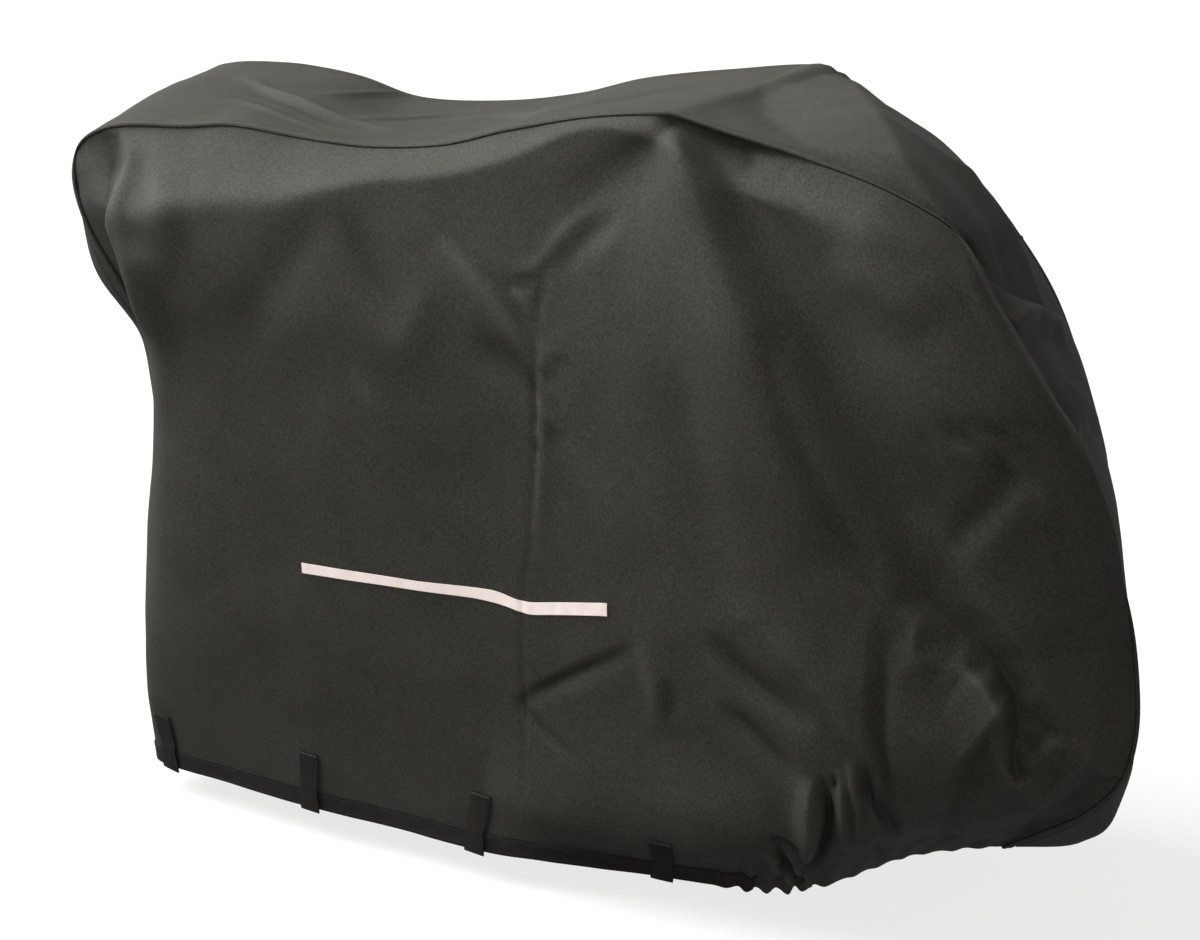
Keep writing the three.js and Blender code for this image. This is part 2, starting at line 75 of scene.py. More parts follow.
gussetSections = [  # near seam, far seam, and how far the middle stands forward and up
    ("rear hem", (35, -110, 40), (35, 110, 40), (-25, 0)),
    ("rear low", (42, -122, 220), (42, 122, 220), (-45, 0)),
    ("rear mid", (52, -138, 440), (48, 138, 440), (-68, 0)),
    ("under seat", (62, -168, 640), (46, 165, 640), (-72, 0)),
    ("overhang", (30, -203, 735), (2, 196, 738), (-96, 0)),
    ("seat back", (-10, -214, 810), (-38, 203, 815), (-52, 0)),
    ("back rise", (-30, -213, 872), (-58, 203, 888), (-12, 2)),
    ("rear corner", (-23, -208, 918), (-80, 200, 956), (-7, 6)),
    ("corner top", (8, -212, 942), (-44, 203, 973), (-4, 7)),
    ("seat rear", (60, -215, 957), (40, 205, 978), (0, 3)),
    ("seat", (150, -215, 962), (105, 205, 975), (0, 2)),
    ("seat front", (225, -215, 969), (172, 205, 966), (0, -1)),
    ("seat edge", (335, -215, 960), (268, 205, 943), (0, -5)),
    ("dip", (430, -216, 957), (400, 205, 947), (0, -4)),
    ("dip front", (530, -218, 967), (515, 207, 965), (0, -4)),
    ("rise", (620, -221, 992), (610, 210, 991), (0, 0)),
    ("rise top", (725, -225, 1015), (735, 214, 1010), (0, 0)),
    ("handlebar", (831, -228, 1027), (866, 218, 1023), (0, 0)),
    ("bar end", (862, -228, 1021), (889, 217, 1007), (0, 0)),
    ("bar front", (905, -228, 1010), (924, 214, 990), (0, 2)),
    ("slope", (1000, -224, 988), (1004, 207, 945), (4, 8)),
    ("shoulder", (1100, -218, 955), (1080, 199, 894), (6, 9)),
    ("front corner", (1185, -203, 905), (1144, 192, 826), (8, 8)),
    ("front rise", (1234, -198, 826), (1198, 186, 750), (12, 8)),
    ("front high", (1282, -189, 738), (1238, 178, 660), (24, 8)),
    ("front", (1328, -176, 648), (1266, 169, 562), (24, 6)),
    ("nose top", (1364, -161, 557), (1291, 160, 470), (14, 2)),
    ("nose high", (1392, -150, 470), (1312, 152, 380), (2, 0)),
    ("nose", (1407, -147, 385), (1326, 146, 300), (2, 0)),
    ("nose low", (1410, -145, 310), (1330, 138, 235), (4, 0)),
    ("nose turn", (1395, -138, 248), (1320, 125, 185), (18, -6)),
    ("keel", (1352, -122, 190), (1292, 108, 142), (40, -14)),
    ("keel low", (1298, -96, 144), (1262, 88, 120), (68, -12)),
    ("front hem", (1235, -65, 96), (1235, 65, 96), (88, 2)),
]

hemSections = [  # forward, out from the middle, and up
    ("rear seam", 35, 110, 40),
    ("rear turn", 24, 140, 40),
    ("rear corner", 26, 172, 40),
    ("first loop", 62, 188, 40),
    ("wheel", 150, 207, 43),
    ("second loop", 300, 229, 43),
    ("side", 458, 241, 43),
    ("third loop", 587, 252, 42),
    ("widest", 680, 251, 46),
    ("fourth loop", 813, 222, 43),
    ("band end", 962, 197, 38),
    ("gathers", 1030, 170, 47),
    ("front turn", 1115, 112, 77),
    ("nose", 1180, 80, 88),
    ("front seam", 1235, 65, 96),
]

# Where along the hem, the level at which the cloth turns down from the seam, how far out it stands
# there and at three lower levels, and how far it is pushed forward at two of them.
dropSections = [
    ("rear seam", 0, 0.08, 0, 0, 0, 0, 0, 0),
    ("corner", 0.035, 0.1, 30, 24, 36, 28, 15, 5),
    ("behind", 0.1, 0.112, 58, 64, 60, 30, 6, -2),
    ("seat", 0.25, 0.084, 62, 72, 58, 24, 0, 0),
    ("dip", 0.33, 0.054, 57, 73, 57, 21, 0, 0),
    ("gap", 0.4, 0.036, 46, 72, 54, 18, 0, 0),
    ("tiller", 0.53, 0.036, 32, 54, 46, 16, 0, 0),
    ("handlebar", 0.645, 0.012, 16, 64, 69, 29, 0, 0),
    ("bulge", 0.8, 0.05, 46, 82, 84, 64, 8, 10),
    ("slope", 0.9, 0.06, 46, 70, 66, 58, 12, 20),
    ("nose", 0.97, 0.065, 26, 34, 36, 36, 14, 16),
    ("front seam", 1, 0.07, 0, 0, 0, 0, 0, 0),
]
dropHeights = {"upper": 0.3, "lower": 0.62, "low": 0.86}


def toFrame(points):
    return (np.asarray(points, float) - cover["carriedAt"]) / 1000


def readTable(keys, values, wanted):
    # a smooth curve through the rows of a table, read wherever its key column has the wanted value
    keys = np.asarray(keys, float)
    values = np.asarray(values, float)
    wanted = np.clip(np.asarray(wanted, float), keys[0], keys[-1])
    row = np.clip(np.searchsorted(keys, wanted, side="right") - 1, 0, len(keys) - 2)
    before = np.maximum(np.arange(len(keys)) - 1, 0)
    after = np.minimum(np.arange(len(keys)) + 1, len(keys) - 1)
    deep = (...,) + (None,) * (values.ndim - 1)
    slopes = (values[after] - values[before]) / (keys[after] - keys[before])[deep]
    span = (keys[row + 1] - keys[row])[deep]
    t = (wanted - keys[row])[deep] / span
    rise = t * t * (3 - 2 * t)
    start = t * (1 - t) * (1 - t) * span * slopes[row]
    end = t * t * (1 - t) * span * slopes[row + 1]
    return values[row] * (1 - rise) + values[row + 1] * rise + start - end


def readPoints(wanted, keys, points, **ends):
    # straight lines through the points, read wherever their keys have the wanted value
    return np.stack([np.interp(wanted, keys, points[..., axis], **ends) for axis in range(3)], axis=-1)


def unit(vectors):
    return vectors / np.maximum(np.linalg.norm(vectors, axis=-1, keepdims=True), 1e-9)


def smoothStep(value, start, end):
    t = np.clip((value - start) / (end - start), 0, 1)
    return t * t * (3 - 2 * t)


def evened(values):
    return np.convolve(np.pad(values, 4, mode="edge"), np.ones(9) / 9, "valid")


def lengthsAlong(points):
    steps = np.linalg.norm(np.diff(points, axis=0), axis=1)
    return np.concatenate([[0], np.cumsum(steps)])


seamRows = {
    nearSide: np.array([row[1] for row in gussetSections], float),
    farSide: np.array([row[2] for row in gussetSections], float),
}
crownRows = np.array([(row[3][0], 0, row[3][1]) for row in gussetSections], float)
gussetKeys = lengthsAlong((seamRows[nearSide] + seamRows[farSide]) / 2)
hemRows = np.array([row[1:] for row in hemSections], float)
hemKeys = lengthsAlong(hemRows)
dropRows = np.array([row[1:] for row in dropSections], float)
sectionNames = [row[0] for row in gussetSections]
rearCorner = gussetKeys[sectionNames.index("rear corner")]
frontCorner = gussetKeys[sectionNames.index("front corner")]
gussetLength = gussetKeys[-1]


def seamPoint(side, along):
    return readTable(gussetKeys, seamRows[side], along)


def hemPoint(side, at):
    return readTable(hemKeys, hemRows, np.asarray(at) * hemKeys[-1]) * (1, side, 1)


def topAlong(at):
    return rearCorner + (frontCorner - rearCorner) * at


def alongAtLevel(start, end, level):
    # up the rear and down the front, a level lies at the same share of the height as on a drop
    stations = np.linspace(start, end, cover["stations"])
    heights = seamPoint(nearSide, stations)[:, 2]
    if heights[0] > heights[-1]:
        return np.interp(level, (heights[0] - heights) / (heights[0] - heights[-1]), stations)
    return np.interp(1 - level, (heights - heights[0]) / (heights[-1] - heights[0]), stations)


def rearAlong(level):
    return alongAtLevel(0, rearCorner, level)


def frontAlong(level):
    return alongAtLevel(frontCorner, gussetLength, level)


def patchPoints(side, at, level):
    # the plain patch between the four edges of a side panel, bent near its rear and front seams
    down = level[None, :, None]
    points = seamPoint(side, topAlong(at))[:, None] * (1 - down) + hemPoint(side, at)[:, None] * down
    for alongAt, reach in ((rearAlong, 1 - at), (frontAlong, at)):
        ends = seamPoint(side, np.array([float(alongAt(0.0)), float(alongAt(1.0))]))
        straight = ends[0] * (1 - level[:, None]) + ends[1] * level[:, None]
        bent = seamPoint(side, alongAt(level)) - straight
        points = points + bent[None] * (reach ** cover["endSoftness"])[:, None, None]
    return points


def panelPoints(side, at, level):
    # the panel turns down over the shoulder below its seam, and then hangs out from the patch
    points = patchPoints(side, at, level)
    drops = readTable(dropRows[:, 0], dropRows[:, 1:], at)
    turn, high, upper, lower, low, upperForward, lowerForward = drops.T
    softerTurn = 1 - cover["frontSoftening"] * smoothStep(at, *cover["frontFrom"])
    for column in range(len(at)):
        keys = (0, turn[column], dropHeights["upper"], dropHeights["lower"], dropHeights["low"], 1)
        rest = np.array((0, 0, upper[column], lower[column], low[column], 0)) - high[column]
        rest[:2] = 0
        forward = (0, 0, upperForward[column], lowerForward[column], 0, 0)
        shift = readTable(keys, np.array([rest, forward]).T, level)
        crispness = cover["turnCrispness"] * softerTurn[column]
        share = (level / turn[column]) ** (crispness * cover["turnHollow"])
        turned = high[column] * (share / (1 + share)) ** (1 / crispness)
        points[column, :, 1] += side * (shift[:, 0] + turned)
        points[column, :, 0] += shift[:, 1]
    return points


def gussetPoints(along, across, nearShift=0):
    near = (seamPoint(nearSide, along) + nearShift)[:, None]
    far = seamPoint(farSide, along)[:, None]
    crown = readTable(gussetKeys, crownRows, along)[:, None]
    share = across[None, :, None]
    fuller = smoothStep(along, *cover["fullerFrom"]) * (1 - smoothStep(along, *cover["fullerUntil"]))
    fullness = 2 + cover["backFullness"] * fuller
    return near * (1 - share) + far * share + crown * (1 - abs(2 * share - 1) ** fullness[:, None, None])


def gridNormals(points, outwardSign):
    along = np.gradient(points, axis=0)
    down = np.gradient(points, axis=1)
    return unit(np.cross(along, down)) * outwardSign


def tentProfile(t, edge=0.1, foot=7.0):
    # flat flanks that meet at a crisp edge and run out softly at their feet
    crest = np.logaddexp(0, foot * (1 - edge))
    return np.logaddexp(0, foot * (1 - np.sqrt(t * t + edge * edge))) / crest


def foldHeights(folds, places, outwardSign):
    # Each fold is a ridge, or a trough where its depth is negative, along a smooth line. Its depth and
    # its widths to the left and the right of that line may change on the way, and it is soft or crisp.
    height = np.zeros(places.shape[:-1])
    for name, path, depths, left, right, crisp in folds:
        keys = lengthsAlong(np.array(path, float))
        count = max(2, min(48, int(keys[-1] / 10)))
        path = readTable(keys, path, np.linspace(0, keys[-1], count + 1))
        left, right = (np.atleast_1d(np.array(width, float)) for width in (left, right))
        reach = 3.0 * max(left.max(), right.max())
        inside = np.all((places > path.min(0) - reach) & (places < path.max(0) + reach), axis=-1)
        spots = places[inside]
        nearest = np.full(len(spots), 1e9)
        toLeft = np.zeros(len(spots))
        share = np.zeros(len(spots))
        for k in range(count):
            step = path[k + 1] - path[k]
            t = np.clip((spots - path[k]) @ step / (step @ step), 0, 1)
            offset = spots - path[k] - t[:, None] * step
            distance = np.linalg.norm(offset, axis=1)
            nearer = distance < nearest
            leftward = outwardSign * np.array((step[1], -step[0])) / np.linalg.norm(step)
            nearest = np.where(nearer, distance, nearest)
            toLeft = np.where(nearer, offset @ leftward, toLeft)
            share = np.where(nearer, (k + t) / count, share)
        tables = (depths, *(np.repeat(width, 2) if len(width) == 1 else width for width in (left, right)))
        depth, left, right = (readTable(np.linspace(0, 1, len(values)), values, share) for values in tables)
        lean = toLeft / np.maximum(nearest, 1e-6)
        t = nearest / np.maximum((left + right) / 2 + (left - right) / 2 * lean, 1.0)
        height[inside] += depth * (np.exp(-t * t) * (1 - crisp) + tentProfile(t) * crisp)
    return height


def facetHeights(creases, places):
    # Flat facets of cloth that meet at creases. Each crease is a line of (across, up, height), and the
    # cloth outside the outermost line is left as it is.
    spots, heights, edges = [], [], []
    for name, path in creases:
        edges += [(k, k + 1) for k in range(len(spots), len(spots) + len(path) - 1)]
        for across, up, rise in path:
            spots.append(Vector((across, up)))
            heights.append(rise)
    corners, _, triangles, sources, _, _ = delaunay_2d_cdt(spots, edges, [], 0, 0.5)
    rises = [np.mean([heights[k] for k in source]) if source else 0.0 for source in sources]
    total = np.zeros(places.shape[:-1])
    for triangle in triangles:
        a, b, c = (np.array(corners[k]) for k in triangle)
        rise = np.array([rises[k] for k in triangle])
        near = np.all((places >= np.min((a, b, c), axis=0)) & (places <= np.max((a, b, c), axis=0)), axis=-1)
        shares = (places[near] - a) @ np.linalg.inv(np.array([b - a, c - a]))
        inside = (shares.min(axis=1) >= -1e-6) & (shares.sum(axis=1) <= 1 + 1e-6)
        here = total[near]
        here[inside] = (rise[0] + shares @ (rise[1:] - rise[0]))[inside]
        total[near] = here
    return total


def softened(heights, passes):
    for _ in range(passes):
        padded = np.pad(heights, 1, mode="edge")
        padded = (padded[:-2] + 2 * padded[1:-1] + padded[2:]) / 4
        heights = (padded[:, :-2] + 2 * padded[:, 1:-1] + padded[:, 2:]) / 4
    return heights


def ripples(points, seed, height):
    # uneven cloth: many faint waves in every direction
    draws = np.random.default_rng(seed)
    shortest, longest = cover["rippleSizes"]
    total = np.zeros(points.shape[:-1])
    for _ in range(cover["rippleCount"]):
        direction = unit(draws.normal(size=3))
        size = shortest * (longest / shortest) ** draws.random()
        total += size / longest * np.sin(points @ direction * 2 * np.pi / size + draws.random() * 6.3)
    return total * height / math.sqrt(cover["rippleCount"])


def raiseFolds(points, outwardSign, rises, fade):
    for rise in rises:
        points = points + gridNormals(points, outwardSign) * (rise * fade)[..., None]
    return points


def fineRelief(rises):
    # how far the cloth stands out from what lies close around it
    return sum(rise - softened(rise, cover["reliefPasses"]) for rise in rises) * cover["reliefScale"]


# the cloth's colour is paler on crests and darker in hollows: partly wear, partly painted highlight and
# painted shade
def wearAndPaintedLightOf(relief):
    return np.clip(relief / cover["wearAndPaintedLightRelief"], *cover["wearAndPaintedLightRange"])


def unevenSteps(count, density):
    # shares from 0 to 1, closer together where the density is higher
    keys, values = zip(*density)
    fine = np.linspace(0, 1, 2001)
    total = np.concatenate([[0], np.cumsum(np.interp((fine[1:] + fine[:-1]) / 2, keys, values))])
    return np.interp(np.linspace(0, total[-1], count + 1), total, fine)


def objectFrom(name, bm):
    mesh = bpy.data.meshes.new(name)
    bm.to_mesh(mesh)
    bm.free()
    piece = bpy.data.objects.new(name, mesh)
    bpy.context.scene.collection.objects.link(piece)
    return piece


def sheetObject(name, points, outwardSign, sizes, wear_and_painted_light=None):
    # A sheet is a grid whose vertices are laid on the points, with its lengths in metres as its UV map
    across, down = points.shape[0] - 1, points.shape[1] - 1
    bm = bmesh.new()
    bmesh.ops.create_grid(bm, x_segments=across, y_segments=down, size=0.5)
    if outwardSign < 0:
        bmesh.ops.reverse_faces(bm, faces=bm.faces[:])
    piece = objectFrom(name, bm)
    mesh = piece.data
    flat = np.empty(len(mesh.vertices) * 3)
    mesh.vertices.foreach_get("co", flat)
    flat = flat.reshape(-1, 3)
    i = np.rint((flat[:, 0] + 0.5) * across).astype(int)
    j = np.rint((flat[:, 1] + 0.5) * down).astype(int)
    mesh.vertices.foreach_set("co", toFrame(points[i, j]).ravel())
    corners = np.empty(len(mesh.loops), int)
    mesh.loops.foreach_get("vertex_index", corners)
    weave = mesh.uv_layers.new(name="weave")
    weave.data.foreach_set("uv", (sizes[i, j] / 1000)[corners].ravel())
    # a per-vertex value that pales crests and darkens hollows in the colour: partly wear, partly painted
    # highlight and painted shade
    if wear_and_painted_light is not None:
        layer = mesh.attributes.new("wear_and_painted_light", "FLOAT", "POINT")
        layer.data.foreach_set("value", wear_and_painted_light[i, j].ravel())
    mesh.polygons.foreach_set("use_smooth", np.ones(len(mesh.polygons), bool))
    rim = (i == 0) | (i == across) | (j == 0) | (j == down)
    ends = np.empty(len(mesh.edges) * 2, int)
    mesh.edges.foreach_get("vertices", ends)
    ends = ends.reshape(-1, 2)
    sharp = mesh.attributes.new("sharp_edge", "BOOLEAN", "EDGE")
    sharp.data.foreach_set("value", rim[ends[:, 0]] & rim[ends[:, 1]])
    mesh.update()
    return piece


def thicken(piece, thickness):
    solid = piece.modifiers.new("thickness", "SOLIDIFY")
    solid.thickness = thickness / 1000
    solid.offset = -1
    solid.use_even_offset = False


def gridSizes(points):
    # how far each vertex lies along and down the cloth, in millimetres
    stepsAlong = np.linalg.norm(np.diff(points, axis=0), axis=-1).mean(axis=1)
    stepsDown = np.linalg.norm(np.diff(points, axis=1), axis=-1)
    along = np.concatenate([[0], np.cumsum(stepsAlong)])
    down = np.concatenate([np.zeros((len(points), 1)), np.cumsum(stepsDown, axis=1)], axis=1)
    return np.stack([np.broadcast_to(along[:, None], down.shape), down], axis=-1)


studio = {
    "eye": (1.420, -2.986, 0.5305),
    "target": (0.025, 0.005, -0.4895),
    "lens": 77.7,
    "sensorWidth": 36,
    "floorRadius": 50,
    "floorColor": (0.12, 0.12, 0.119, 1),
    "floorGlow": 0.78,
    "backdropRadius": 52,
    "backdropGlow": 0.955,
    "worldStrength": 0.26,
    "suns": {  # strength, where it comes from, and how wide it is in degrees
        "overhead": (10.8, (-0.68, -0.15, 0.72), 42),
        "frontal": (1.26, (0.62, -1.0, 0.12), 90),
        "rear": (0.4, (-0.3, 1.0, 0.05), 90),
    },
}


def stagePiece(name, bm, color, glow):
    # part of the studio: it fills the view, and throws no light on the cover
    piece = objectFrom(name, bm)
    material = bpy.data.materials.new("studio_" + name)
    material.use_nodes = True
    shader = material.node_tree.nodes["Principled BSDF"]
    shader.inputs["Base Color"].default_value = color
    shader.inputs["Roughness"].default_value = 0.9
    shader.inputs["Specular IOR Level"].default_value = 0.1
    shader.inputs["Emission Color"].default_value = (1, 1, 0.995, 1)
    shader.inputs["Emission Strength"].default_value = glow
    piece.data.materials.append(material)
    piece.visible_diffuse = False
    piece.visible_glossy = False
    return piece


def makeStudio():
    scene = bpy.context.scene
    scene.view_settings.view_transform = "Standard"
    camera = bpy.data.objects.new("camera", bpy.data.cameras.new("camera"))
    camera.data.lens = studio["lens"]
    camera.data.sensor_width = studio["sensorWidth"]
    camera.data.clip_end = studio["floorRadius"] * 4
    camera.location = studio["eye"]
    looking = Vector(studio["target"]) - Vector(studio["eye"])
    camera.rotation_euler = looking.to_track_quat("-Z", "Y").to_euler()
    scene.collection.objects.link(camera)
    scene.camera = camera
    world = bpy.data.worlds.new("studio")
    world.use_nodes = True
    world.node_tree.nodes["Background"].inputs["Color"].default_value = (1, 1, 1, 1)
    world.node_tree.nodes["Background"].inputs["Strength"].default_value = studio["worldStrength"]
    scene.world = world
    for name, (strength, comesFrom, angle) in studio["suns"].items():
        sun = bpy.data.objects.new(name, bpy.data.lights.new(name, "SUN"))
        sun.data.energy = strength
        sun.data.angle = math.radians(angle)
        sun.rotation_euler = Vector(comesFrom).to_track_quat("Z", "Y").to_euler()
        scene.collection.objects.link(sun)
    bm = bmesh.new()
    bmesh.ops.create_circle(bm, cap_ends=True, segments=96, radius=studio["floorRadius"])
    bmesh.ops.translate(bm, verts=bm.verts[:], vec=(0, 0, -cover["carriedAt"][2] / 1000))
    stagePiece("floor", bm, studio["floorColor"], studio["floorGlow"])
    bm = bmesh.new()
    bmesh.ops.create_uvsphere(bm, u_segments=48, v_segments=24, radius=studio["backdropRadius"])
    bmesh.ops.reverse_faces(bm, faces=bm.faces[:])
    backdrop = stagePiece("backdrop", bm, (0, 0, 0, 1), studio["backdropGlow"])
    backdrop.visible_shadow = False
    backdrop.visible_transmission = False


def newMaterial(name):
    # a material, its shader, and short ways to add a node, a sum and a link to it
    material = bpy.data.materials.new(name)
    material.use_nodes = True
    nodes, link = material.node_tree.nodes, material.node_tree.links.new

    def node(kind, **values):
        made = nodes.new(kind)
        for key, value in values.items():
            if key in made.inputs.keys():
                made.inputs[key].default_value = value
            else:
                setattr(made, key, value)
        return made

    def calculate(operation, first, second=0.0):
        made = node("ShaderNodeMath", operation=operation)
        for socket, value in zip(made.inputs, (first, second)):
            if isinstance(value, (int, float)):
                socket.default_value = value
            else:
                link(value, socket)
        return made.outputs[0]

    return material, nodes["Principled BSDF"], node, calculate, link


def noisePattern(node, link, settings):
    place = node("ShaderNodeTexCoord")
    noise = node("ShaderNodeTexNoise", **settings)
    link(place.outputs["Object"], noise.inputs["Vector"])
    return noise.outputs["Fac"]


def threadWaves(node, calculate, link, threadsPerMetre):
    # the threads along and across the cloth, as waves on its weave map
    weave = node("ShaderNodeUVMap", uv_map="weave")
    lines = node("ShaderNodeSeparateXYZ")
    link(weave.outputs["UV"], lines.inputs[0])
    return [calculate("SINE", calculate("MULTIPLY", line, 2 * math.pi * count))
            for line, count in zip(lines.outputs, threadsPerMetre)]


def blendColors(node, link, factor, color, paleColor):
    mix = node("ShaderNodeMix", data_type="RGBA")
    link(factor, mix.inputs["Factor"])
    for socket, shade in zip(mix.inputs[6:8], (color, paleColor)):  # its two colour sockets
        socket.default_value = (*shade, 1)
    return mix.outputs[2]


def raiseSurface(node, link, shader, height, strength, depth):
    bump = node("ShaderNodeBump", Strength=strength, Distance=depth)
    link(height, bump.inputs["Height"])
    link(bump.outputs["Normal"], shader.inputs["Normal"])


clothFinish = {
    "color": (0.0115, 0.0111, 0.0078),
    "paleColor": (0.056, 0.0545, 0.0455),
    "threadsPerMetre": (1000 / 1.15, 1000 / 1.15),
    "threadHeight": 0.35,
    "grain": {"Scale": 330.0, "Detail": 4.0, "Roughness": 0.85},
    "grainShare": 1.9,
    "patches": {"Scale": 7.0, "Detail": 4.0, "Roughness": 0.6},
    "patchShare": 0.35,
    "darkening": 0.88,
    "roughness": 0.64,
    "patchRoughness": 0.16,
    "gloss": 0.2,
    "relief": (0.5, 0.0005),
}


def makeClothMaterial():
    material, shader, node, calculate, link = newMaterial("cover_weave")
    warp, weft = threadWaves(node, calculate, link, clothFinish["threadsPerMetre"])
    grain = noisePattern(node, link, clothFinish["grain"])
    patches = noisePattern(node, link, clothFinish["patches"])
    # paler on crests and darker in hollows: partly wear, partly painted highlight and painted shade
    wear_and_painted_light = node("ShaderNodeAttribute", attribute_name="wear_and_painted_light")
    blend = calculate("MULTIPLY", grain, clothFinish["grainShare"])
    blend = calculate("ADD", blend, calculate("MULTIPLY", patches, clothFinish["patchShare"]))
    blend = calculate("ADD", blend, wear_and_painted_light.outputs["Fac"])
    blend = calculate("SUBTRACT", blend, clothFinish["darkening"])
    color = blendColors(node, link, blend, clothFinish["color"], clothFinish["paleColor"])
    link(color, shader.inputs["Base Color"])
    rough = calculate("MULTIPLY", patches, clothFinish["patchRoughness"])
    rough = calculate("ADD", rough, clothFinish["roughness"])
    link(rough, shader.inputs["Roughness"])
    height = calculate("MULTIPLY", calculate("MULTIPLY", warp, weft), clothFinish["threadHeight"])
    height = calculate("ADD", height, grain)
    raiseSurface(node, link, shader, height, *clothFinish["relief"])
    shader.inputs["Specular IOR Level"].default_value = clothFinish["gloss"]
    return material


webbingFinish = {
    "color": (0.0072, 0.0060, 0.0048),
    "paleColor": (0.0215, 0.0182, 0.0152),
    "threadsPerMetre": (700, 400),
    "lengthwiseShare": 0.4,
    "threadShade": 0.18,
    "dust": {"Scale": 90.0, "Detail": 4.0},
    "roughness": 0.8,
    "gloss": 0.12,
    "relief": (0.8, 0.0006),
}


def makeWebbingMaterial():
    material, shader, node, calculate, link = newMaterial("webbing_ribbed")
    steps, ribs = threadWaves(node, calculate, link, webbingFinish["threadsPerMetre"])
    threads = calculate("ADD", ribs, calculate("MULTIPLY", steps, webbingFinish["lengthwiseShare"]))
    dust = noisePattern(node, link, webbingFinish["dust"])
    shade = calculate("ADD", calculate("MULTIPLY", threads, webbingFinish["threadShade"]), dust)
    color = blendColors(node, link, shade, webbingFinish["color"], webbingFinish["paleColor"])
    link(color, shader.inputs["Base Color"])
    raiseSurface(node, link, shader, threads, *webbingFinish["relief"])
    shader.inputs["Roughness"].default_value = webbingFinish["roughness"]
    shader.inputs["Specular IOR Level"].default_value = webbingFinish["gloss"]
    return material


# the tape's glow is painted light: it stands in for the light the reflective tape throws back
tapeFinish = {
    "color": (0.41, 0.36, 0.333),
    "paleColor": (0.70, 0.618, 0.577),
    "beads": {"Scale": 900.0, "Detail": 2.0},
    "beadShare": 0.4,
    "smudge": {"Scale": 45.0, "Detail": 4.0},
    "smudgeShare": 0.7,
    "glow": 0.32,
    "roughness": 0.45,
    "relief": (0.4, 0.0003),
}


def makeTapeMaterial():
    material, shader, node, calculate, link = newMaterial("tape_silver")
    beads = noisePattern(node, link, tapeFinish["beads"])
    smudge = noisePattern(node, link, tapeFinish["smudge"])
    shade = calculate("MULTIPLY", beads, tapeFinish["beadShare"])
    shade = calculate("ADD", shade, calculate("MULTIPLY", smudge, tapeFinish["smudgeShare"]))
    color = blendColors(node, link, shade, tapeFinish["color"], tapeFinish["paleColor"])
    link(color, shader.inputs["Base Color"])
    link(color, shader.inputs["Emission Color"])
    # painted light: the glow stands in for the light the reflective tape throws back
    shader.inputs["Emission Strength"].default_value = tapeFinish["glow"]
    shader.inputs["Roughness"].default_value = tapeFinish["roughness"]
    raiseSurface(node, link, shader, beads, *tapeFinish["relief"])
    return material


threadFinish = {
    "dark": (0.010, 0.0094, 0.0075),
    "pale": (0.085, 0.080, 0.071),
    "twist": {"Scale": 1400.0, "Detail": 2.0},
    "twistShades": (0.6, 1.3),
    "roughness": 0.6,
}


def makeThreadMaterial(tone):
    material, shader, node, calculate, link = newMaterial(f"thread_{tone}")
    twist = noisePattern(node, link, threadFinish["twist"])
    shades = ([part * shade for part in threadFinish[tone]] for shade in threadFinish["twistShades"])
    link(blendColors(node, link, twist, *shades), shader.inputs["Base Color"])
    shader.inputs["Roughness"].default_value = threadFinish["roughness"]
    return material


def finishPiece(piece, material, replaced):
    piece.data.materials.append(material)
    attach(piece, "root")
    if replaced:
        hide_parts(replaced)
    return piece


nearPanel = {
    "columns": 300,
    "columnDensity": [(0, 1.1), (0.08, 1.0), (0.14, 0.4), (0.38, 0.4), (0.46, 1.1), (0.56, 1.1),
                      (0.6, 0.65), (0.7, 0.65), (0.76, 2.3), (0.94, 2.3), (0.98, 2.0), (1, 3)],
    "rows": 160,
    "rowDensity": [(0, 2.4), (0.03, 1.9), (0.08, 1.4), (0.12, 1.1), (0.22, 0.8), (0.32, 0.45),
                   (0.5, 0.45), (0.58, 2.0), (0.9, 2.1), (1, 1.8)],
    "seamFade": 0.008,
    "fineScale": 1.2,
    "rippleSeed": 4,
    "rippleHeight": 1.1,
    "gatherHeight": 5.0,
    "roll": (-12, 20, -2),
    "rollPaintedHighlight": 34.0,
    "rimRows": 13,
    "rollStart": (2182, 2225),
    "rollEnd": (2430, 2500),
}

